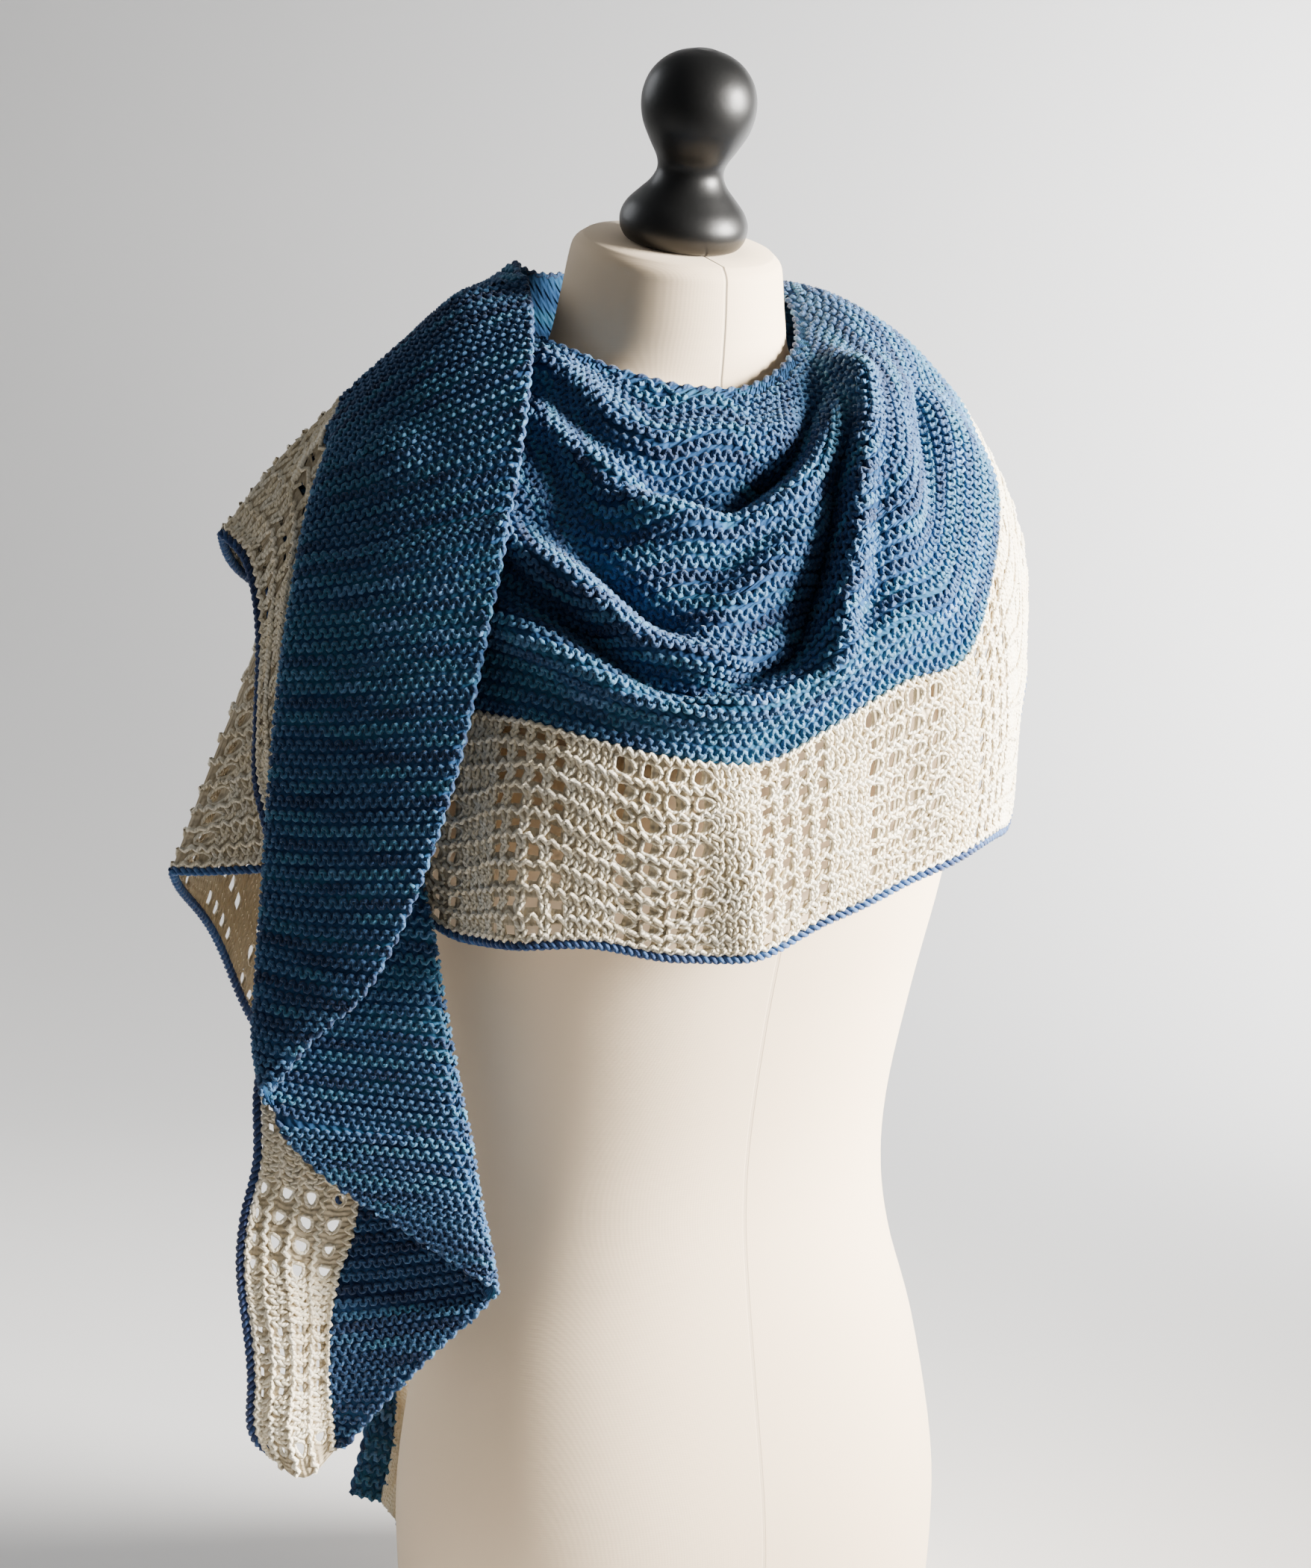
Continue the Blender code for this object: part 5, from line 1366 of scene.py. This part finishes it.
def ramp(tree, value, stops):
    """A colour ramp from -1 to 1."""
    node = tree.nodes.new("ShaderNodeValToRGB")
    elements = node.color_ramp.elements
    while len(elements) < len(stops):
        elements.new(0.5)
    for element, (place, colour) in zip(elements, stops):
        element.position = (place + 1) / 2
        element.color = tuple(colour) + (1.0,)
    tree.links.new(math_node(tree, "MULTIPLY_ADD", value, 0.5, 0.5), node.inputs[0])
    return node.outputs[0]


def noise(tree, scale, detail=2.0):
    """Fine noise on the object's own coordinates."""
    where = tree.nodes.new("ShaderNodeTexCoord")
    node = tree.nodes.new("ShaderNodeTexNoise")
    node.inputs["Scale"].default_value = scale
    node.inputs["Detail"].default_value = detail
    tree.links.new(where.outputs["Object"], node.inputs["Vector"])
    return node.outputs["Fac"]


def bump(tree, shader, height, distance):
    """Feeds a height in millimetres to the shader's normal."""
    node = tree.nodes.new("ShaderNodeBump")
    node.inputs["Strength"].default_value = 1.0
    node.inputs["Distance"].default_value = distance * MM
    tree.links.new(height, node.inputs["Height"])
    tree.links.new(node.outputs[0], shader.inputs["Normal"])


def dye(tree, shader, tone, stops, scale):
    """Feeds the shader a colour from the tone, specked by noise of the scale given."""
    speck = math_node(tree, "SUBTRACT", noise(tree, scale, 3.0), 0.5)
    shade = math_node(tree, "ADD", tone, math_node(tree, "MULTIPLY", speck, 0.9))
    tree.links.new(ramp(tree, shade, stops), shader.inputs["Base Color"])


def yarn_look(name, stops, ply, rough, sheen):
    """Plied yarn: its shade from the tone, and a twist in its surface."""
    made, tree, shader = new_look(name, stops[1][1], rough)
    along, turn, tone = attribute_parts(tree, "yarn")
    dye(tree, shader, tone, stops, 900.0)
    twist = math_node(tree, "MULTIPLY_ADD", along, 2 * math.pi / ply, turn)
    wave = math_node(tree, "SINE", math_node(tree, "MULTIPLY", twist, 2.0))
    hair = math_node(tree, "MULTIPLY_ADD", noise(tree, 2600.0, 2.0), 1.1, wave)
    bump(tree, shader, hair, 0.16)
    shader.inputs["Sheen Weight"].default_value = sheen
    shader.inputs["Sheen Roughness"].default_value = 0.5
    shader.inputs["Specular IOR Level"].default_value = 0.25
    return made


def wall_look(name, stops, rough, garter):
    """Cloth between the ridges: coloured from the tone on a darker ramp, a painted shade, with its
    stitches as bump.
    """
    made, tree, shader = new_look(name, stops[1][1], rough)
    stitch, row, tone = attribute_parts(tree, "knit")
    dye(tree, shader, tone, stops, 700.0)
    if garter:
        across = math_node(tree, "MULTIPLY", row, 2 * math.pi)
        along = math_node(tree, "MULTIPLY", stitch, 2 * math.pi)
        lean = math_node(tree, "SINE", along)
        ridge = math_node(tree, "COSINE", math_node(tree, "MULTIPLY_ADD", lean, 1.1, across))
        bump(tree, shader, ridge, 0.5)
    else:
        down = math_node(tree, "SINE", math_node(tree, "MULTIPLY", row, 2 * math.pi / 4.0))
        leg = math_node(tree, "SINE", math_node(tree, "MULTIPLY", stitch, 2 * math.pi / 2.9))
        bump(tree, shader, math_node(tree, "ADD", down, leg), 0.35)
    shader.inputs["Specular IOR Level"].default_value = 0.1
    return made


COVER_COLOUR = (0.85, 0.665, 0.455)
SEAM_COLOUR = (0.33, 0.27, 0.20)
WEAVE_WAVES = 5200.0
SEAM_HALF_WIDTH = 0.0011
SEAM_TOP = 0.56
SEAM_BELOW = 0.72


def cover_look():
    """Plain woven cotton over the form, with a seam down its front and back."""
    made, tree, shader = new_look("form_cover", COVER_COLOUR, 0.82)
    where = tree.nodes.new("ShaderNodeTexCoord")
    split = tree.nodes.new("ShaderNodeSeparateXYZ")
    tree.links.new(where.outputs["Object"], split.inputs[0])
    x, y, z = split.outputs
    level = math_node(tree, "MULTIPLY", math_node(tree, "ADD", x, y), WEAVE_WAVES)
    warp = math_node(tree, "SINE", level)
    weft = math_node(tree, "SINE", math_node(tree, "MULTIPLY", z, WEAVE_WAVES))
    weave = math_node(tree, "MULTIPLY", math_node(tree, "ADD", warp, weft), 0.012)
    aside = math_node(tree, "DIVIDE", math_node(tree, "ABSOLUTE", x), SEAM_HALF_WIDTH)
    thread = math_node(tree, "SMOOTH_MIN", aside, 1.0, 0.3)
    fade = math_node(tree, "MULTIPLY", math_node(tree, "LESS_THAN", z, SEAM_TOP), SEAM_BELOW)
    seam = math_node(tree, "MAXIMUM", thread, fade)
    cloud = math_node(tree, "MULTIPLY", noise(tree, 22.0, 4.0), 0.25)
    height = math_node(tree, "ADD", math_node(tree, "ADD", seam, weave), cloud)
    bump(tree, shader, height, 0.5)
    mix = tree.nodes.new("ShaderNodeMix")
    mix.data_type = "RGBA"
    mix.inputs["A"].default_value = SEAM_COLOUR + (1.0,)
    mix.inputs["B"].default_value = COVER_COLOUR + (1.0,)
    tree.links.new(seam, mix.inputs["Factor"])
    tree.links.new(mix.outputs["Result"], shader.inputs["Base Color"])
    shader.inputs["Sheen Weight"].default_value = 0.12
    return made


def knob_look():
    """Black lacquer over turned wood."""
    made, tree, shader = new_look("knob_lacquer", (0.004, 0.004, 0.004), 0.42)
    shader.inputs["Specular IOR Level"].default_value = 0.32
    shader.inputs["Coat Weight"].default_value = 0.12
    shader.inputs["Coat Roughness"].default_value = 0.24
    bump(tree, shader, noise(tree, 120.0, 2.0), 0.12)
    return made


GARTER_SHADES = [
    (-1.0, (0.012, 0.030, 0.082)), (-0.45, (0.023, 0.066, 0.158)), (0.0, (0.037, 0.112, 0.234)),
    (0.4, (0.040, 0.152, 0.250)), (0.75, (0.072, 0.186, 0.350)), (1.0, (0.120, 0.228, 0.425)),
]
# Painted shade: the garter wall between the ridges is coloured from a darker copy of the yarn's ramp
GARTER_WALL_PAINTED_SHADES = [
    (-1.0, (0.007, 0.018, 0.053)), (-0.45, (0.012, 0.040, 0.101)), (0.0, (0.019, 0.062, 0.148)),
    (0.4, (0.021, 0.085, 0.153)), (0.75, (0.036, 0.099, 0.208)), (1.0, (0.058, 0.112, 0.232)),
]
EDGE_SHADES = [
    (-1.0, (0.012, 0.024, 0.085)), (-0.3, (0.026, 0.060, 0.170)), (0.3, (0.050, 0.125, 0.300)),
    (1.0, (0.100, 0.215, 0.430)),
]
LACE_SHADES = [(-1.0, (0.88, 0.75, 0.51)), (0.0, (0.95, 0.845, 0.64)), (1.0, (0.97, 0.91, 0.76))]
# Painted shade: the lace wall between the strands is a darker brown than the lace yarn
LACE_WALL_PAINTED_SHADES = [
    (-1.0, (0.42, 0.34, 0.215)), (0.0, (0.55, 0.455, 0.31)), (1.0, (0.63, 0.54, 0.39)),
]


# The scene

def solid_of_rings(name, rings, look):
    """A closed smooth body through rings of points."""
    rings = np.asarray(rings, float)
    levels, count = rings.shape[:2]
    index = np.arange(levels * count).reshape(levels, count)
    faces = ring_quads(index)
    points = rings.reshape(-1, 3)
    caps = []
    for ring, flip in ((0, True), (levels - 1, False)):
        start = len(points)
        inner = [rings[ring].mean(0) + (rings[ring] - rings[ring].mean(0)) * s
                 for s in (0.66, 0.33, 0.01)]
        points = np.concatenate([points] + inner)
        outer = index[ring]
        for k in range(3):
            now = np.arange(start + k * count, start + (k + 1) * count)
            quad = np.stack([outer, np.roll(outer, -1), np.roll(now, -1), now], -1)
            caps.append(quad[:, ::-1] if flip else quad)
            outer = now
    return mesh_piece(name, points, np.concatenate([faces] + caps), look)


def build_form():
    """The covered form and its knob, finer than their solids."""
    cover = solid_of_rings("form_cover", form_rings(110, 92), LOOKS["cover"])
    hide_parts("form_body")
    profile = np.asarray(KNOB_PROFILE, float)
    order = np.column_stack([np.arange(len(profile)), profile])
    fine = through(order, np.linspace(0, len(profile) - 1, 70))
    knob = solid_of_rings("knob", knob_rings(44, fine), LOOKS["knob"])
    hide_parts("form_knob")
    for piece, slot in ((cover, "cover"), (knob, "knob")):
        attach(piece, "root")


def scalloped(grid, offset):
    """The border's grid with its hem drawn into scallops and back from its cord, and its length."""
    run = run_along(grid[:, int(grid.shape[1] * MIDDLE_SHARE)])
    drop = scallop(run - offset) - CORD_GAP - 2 * CORD_RADIUS
    hang = unit(grid[:, -1] - grid[:, -2])
    pull = (drop[:, None] * even(grid.shape[1])[None] ** 2)[..., None]
    return grid + hang[:, None] * pull, run[-1]


def hung(grid, pushes, line, phase, first=None, foot=False):
    """A stretch of border hung from its line, scalloped and joined on, and its length."""
    grid = tied(rested(grid, pushes), None, (line, np.ones(len(line))))
    if foot:
        grid = rounded_foot(grid)
    grid, length = scalloped(grid, phase)
    return tied(grid, first), length


def wrap_grid(stations, first, last, shares):
    """The folded wrap between two knots of its sections."""
    fine, marks = wrap_sections(stations)
    calm = 1 - smooth_step(shares, 0.9, 1.0) * (1 - FOLDS_AT_LINE)
    if first == LINE:
        calm = FOLDS_AT_LINE + FOLDS_IN_LACE * smooth_step(shares, 0.0, 0.25)
    return folded_wrap(share_out(fine, marks[first], marks[last], shares), stations, calm)


def tail_grid(stations, first, last, shares):
    """The wing that hangs behind, between two knots of its sections."""
    fine, marks = tail_sections(stations)
    return share_out(fine, marks[first], marks[last], shares)


def build_cloth():
    """Every stretch of the shawl, in the order in which one lies on another."""
    rings = np.asarray(form_rings(60, 56))
    index = np.arange(rings[..., 0].size).reshape(rings.shape[:2])
    body = Body(rings.reshape(-1, 3), ring_quads(index).tolist())

    def on_form(grid):
        return body.keep_out(grid, GARTER_THICK / 2 + AIR_OVER_FORM)

    def lace_on_form(grid):
        return body.keep_out(grid, LACE_THICK / 2 + AIR_OVER_FORM)

    # Chest
    along, down, down_lace = CHEST_POINTS
    turns = np.linspace(WRAP_START, WRAP_MEET, along)
    chest_grid = rested(wrap_grid(turns, NECK, LINE, even(down)), [on_form])
    garter_piece("front_garter", Cloth(chest_grid), False, 0.4, 0)
    chest_lace_grid, length = hung(wrap_grid(turns, LINE, HEM, even(down_lace)), [lace_on_form],
                                   chest_grid[:, -1], FIRST_EYELETS)
    front_lace = Lace(Cloth(chest_lace_grid), FIRST_EYELETS)
    lace_piece("front_lace", "front_edging", front_lace, 0.4)

    # Wing hanging behind
    along, down, down_lace = TAIL_POINTS
    stations = np.linspace(0, TAIL_END, along)
    grid = tail_grid(stations, NECK, LINE, even(down))
    tail_garter = tied(rested(grid, [on_form]), chest_grid[0])
    garter_piece("tail_garter", Cloth(tail_garter, -1.0), True, 2.2, 0,
                 fineness=HIDDEN_STEPS)
    grid, _ = hung(tail_grid(stations, LINE, HEM, even(down_lace)), [lace_on_form],
                   tail_garter[:, -1], -FIRST_EYELETS, chest_lace_grid[0])
    tail_lace = Lace(Cloth(grid, -1.0), -FIRST_EYELETS)
    lace_piece("tail_lace", "tail_edging", tail_lace, 2.2)

    # What the crossing wing lies on
    apart = GARTER_THICK + AIR_BETWEEN_LAYERS
    whole = even(24)
    stations = np.linspace(WRAP_START, -20.0, 34)
    near = np.concatenate([wrap_grid(stations, NECK, LINE, whole),
                           wrap_grid(stations, LINE, HEM, whole)[:, 1:]], axis=1)
    near = rested(near, [on_form])
    hanging = rested(tail_grid(np.linspace(0, TAIL_END, 60), NECK, HEM, whole), [on_form])
    over = [Layer(hanging[::-1], apart).keep_out, Layer(near, apart).keep_out]

    # Back
    along, down, down_lace = BACK_POINTS
    turns = np.linspace(WRAP_MEET, WRAP_END, along)
    grid = wrap_grid(turns, NECK, LINE, even(down))
    peak = grid[-1, 0]
    grid = rolled_over(grid, peak)
    back_garter = tied(rested(grid, over + [on_form]), chest_grid[-1])
    garter_piece("back_garter", Cloth(back_garter), False, 1.1, 0,
                 fineness=HIDDEN_STEPS)
    phase = FIRST_EYELETS - length
    back_lace_grid, length = hung(wrap_grid(turns, LINE, HEM, even(down_lace)),
                                  over + [lace_on_form], back_garter[:, -1], phase,
                                  chest_lace_grid[-1])
    back_lace = Lace(Cloth(back_lace_grid), phase)
    lace_piece("back_lace", "back_edging", back_lace, 1.1)

    # Falling wing
    down_panel, down_flare, down_end, down_lace = FALL_POINTS
    upper, middle, lower, lowest = (np.linspace(*stretch) for stretch in FALL_STRETCHES)
    grid = np.concatenate([fall_grid(upper, "edge", "line", even(down_panel)),
                           fall_grid(middle, "edge", "left", even(down_panel))])
    grid = rolled_over(grid, peak)
    panel = tied(rested(grid, over + [on_form]), back_garter[-1])
    # Painted shade: the panel and the flare of the falling wing have their tone lowered by 0.05 and
    # 0.1
    garter_piece("fall_panel", Cloth(panel), True, 3.0, 0, 0.9, -0.05)
    stations = np.concatenate([middle, lower])
    grid = rested(fall_grid(stations, "left", "right", even(down_flare)), over + [on_form])
    known = (stations <= FALL_PANEL_END).astype(float)
    line = np.concatenate([panel[len(upper):, -1], grid[len(middle):, 0]])
    flare = tied(grid, None, (line, known))
    garter_piece("fall_flare", Cloth(flare, -1.0), True, 3.0, len(middle) - 1,
                 0.86, -0.1, far_edge=True)
    stations = np.concatenate([middle, lower, lowest])
    grid = rested(fall_grid(stations, "right", "line", even(down_end)), over + [on_form])
    known = (stations <= FALL_FLARE_END).astype(float)
    line = np.concatenate([flare[:, -1], grid[len(flare):, 0]])
    end = tied(grid, None, (line, known))
    # Painted shade: the end of the falling wing has its tone lowered by 0.55, as it lies in shadow
    garter_piece("fall_end", Cloth(end), True, 5.0, len(flare) - 1, 0.86, -0.55)
    stations = np.concatenate([upper, stations])
    line = np.concatenate([panel[:len(upper), -1], end[:, -1]])
    phase = phase - length
    grid, _ = hung(fall_grid(stations, "line", "hem", even(down_lace)), over + [lace_on_form],
                   line, phase, back_lace_grid[-1], foot=True)
    fall_lace = Lace(Cloth(grid), phase, FALL_OPENING_SHARE)
    # Painted shade: the falling wing's bind-off cord has its tone lowered by 0.6
    lace_piece("fall_lace", "fall_edging", fall_lace, 3.0, -0.6)


def area_lamp(name, place, aim, size, power, colour, spread):
    """A soft lamp whose light keeps within a cone of so many degrees."""
    data = bpy.data.lights.new(name, "AREA")
    data.shape = "DISK"
    data.size = size
    data.energy = power
    data.color = colour
    data.spread = math.radians(spread)
    thing = bpy.data.objects.new(name, data)
    bpy.context.scene.collection.objects.link(thing)
    thing.location = place
    thing.rotation_mode = "QUATERNION"
    thing.rotation_quaternion = (Vector(aim) - Vector(place)).to_track_quat("-Z", "Y")


def build_studio():
    """Floor, light and camera."""
    made, _, _ = new_look("floor", (0.64, 0.635, 0.63), 0.9)
    mesh = bpy.data.meshes.new("floor")
    right, toward, _, _, eye, aim = sight_axes()
    profile = [(-FLOOR_REACH, 0.0), (FLOOR_FLAT, 0.0)]
    for k in range(1, BEND_STEPS + 1):
        turn = math.pi / 2 * k / BEND_STEPS
        back, lift = math.sin(turn) * FLOOR_BEND, math.cos(turn) * FLOOR_BEND
        profile.append((FLOOR_FLAT + back, FLOOR_BEND - lift))
    profile.append((FLOOR_FLAT + FLOOR_BEND, WALL_HEIGHT))
    points, faces = [], []
    for depth, height in profile:
        for side in (-FLOOR_REACH, FLOOR_REACH):
            place = right * side - toward * depth
            points.append((place[0], place[1], height))
    for k in range(len(profile) - 1):
        faces.append((2 * k, 2 * k + 1, 2 * k + 3, 2 * k + 2))
    mesh.from_pydata(points, [], faces)
    mesh.shade_smooth()
    mesh.materials.append(made)
    floor = bpy.data.objects.new("floor", mesh)
    bpy.context.scene.collection.objects.link(floor)
    world = bpy.data.worlds.new("studio")
    world.use_nodes = True
    world.node_tree.nodes["Background"].inputs[0].default_value = (0.90, 0.92, 0.95, 1.0)
    world.node_tree.nodes["Background"].inputs[1].default_value = FILL_LIGHT
    bpy.context.scene.world = world
    rise = np.array([0.0, 0.0, 1.0])
    for name, place, target, size, power, colour, spread in LAMPS:
        place = right * place[0] + toward * place[1] + rise * place[2]
        target = right * target[0] + toward * target[1] + rise * target[2]
        area_lamp(name, place, target, size, power, colour, spread)
    camera = bpy.data.cameras.new("camera")
    camera.lens = CAMERA_LENS
    camera.sensor_width = CAMERA_SENSOR
    camera.clip_start, camera.clip_end = 0.05, 30.0
    thing = bpy.data.objects.new("camera", camera)
    bpy.context.scene.collection.objects.link(thing)
    thing.location = Vector(eye * MM)
    thing.rotation_mode = "QUATERNION"
    thing.rotation_quaternion = Vector((aim - eye) * MM).to_track_quat("-Z", "Y")
    bpy.context.scene.camera = thing


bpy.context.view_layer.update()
LOOKS = {
    "garter": wall_look("garter_wall", GARTER_WALL_PAINTED_SHADES, 0.9, True),
    "garter_yarn": yarn_look("garter_yarn", GARTER_SHADES, 5.2, 0.76, 0.12),
    "lace": wall_look("lace_wall", LACE_WALL_PAINTED_SHADES, 0.9, False),
    "lace_yarn": yarn_look("lace_yarn", LACE_SHADES, 4.6, 0.74, 0.25),
    "edge_yarn": yarn_look("edge_yarn", EDGE_SHADES, 5.2, 0.74, 0.25),
    "cover": cover_look(),
    "knob": knob_look(),
}
build_form()
build_cloth()
build_studio()
bpy.context.view_layer.update()
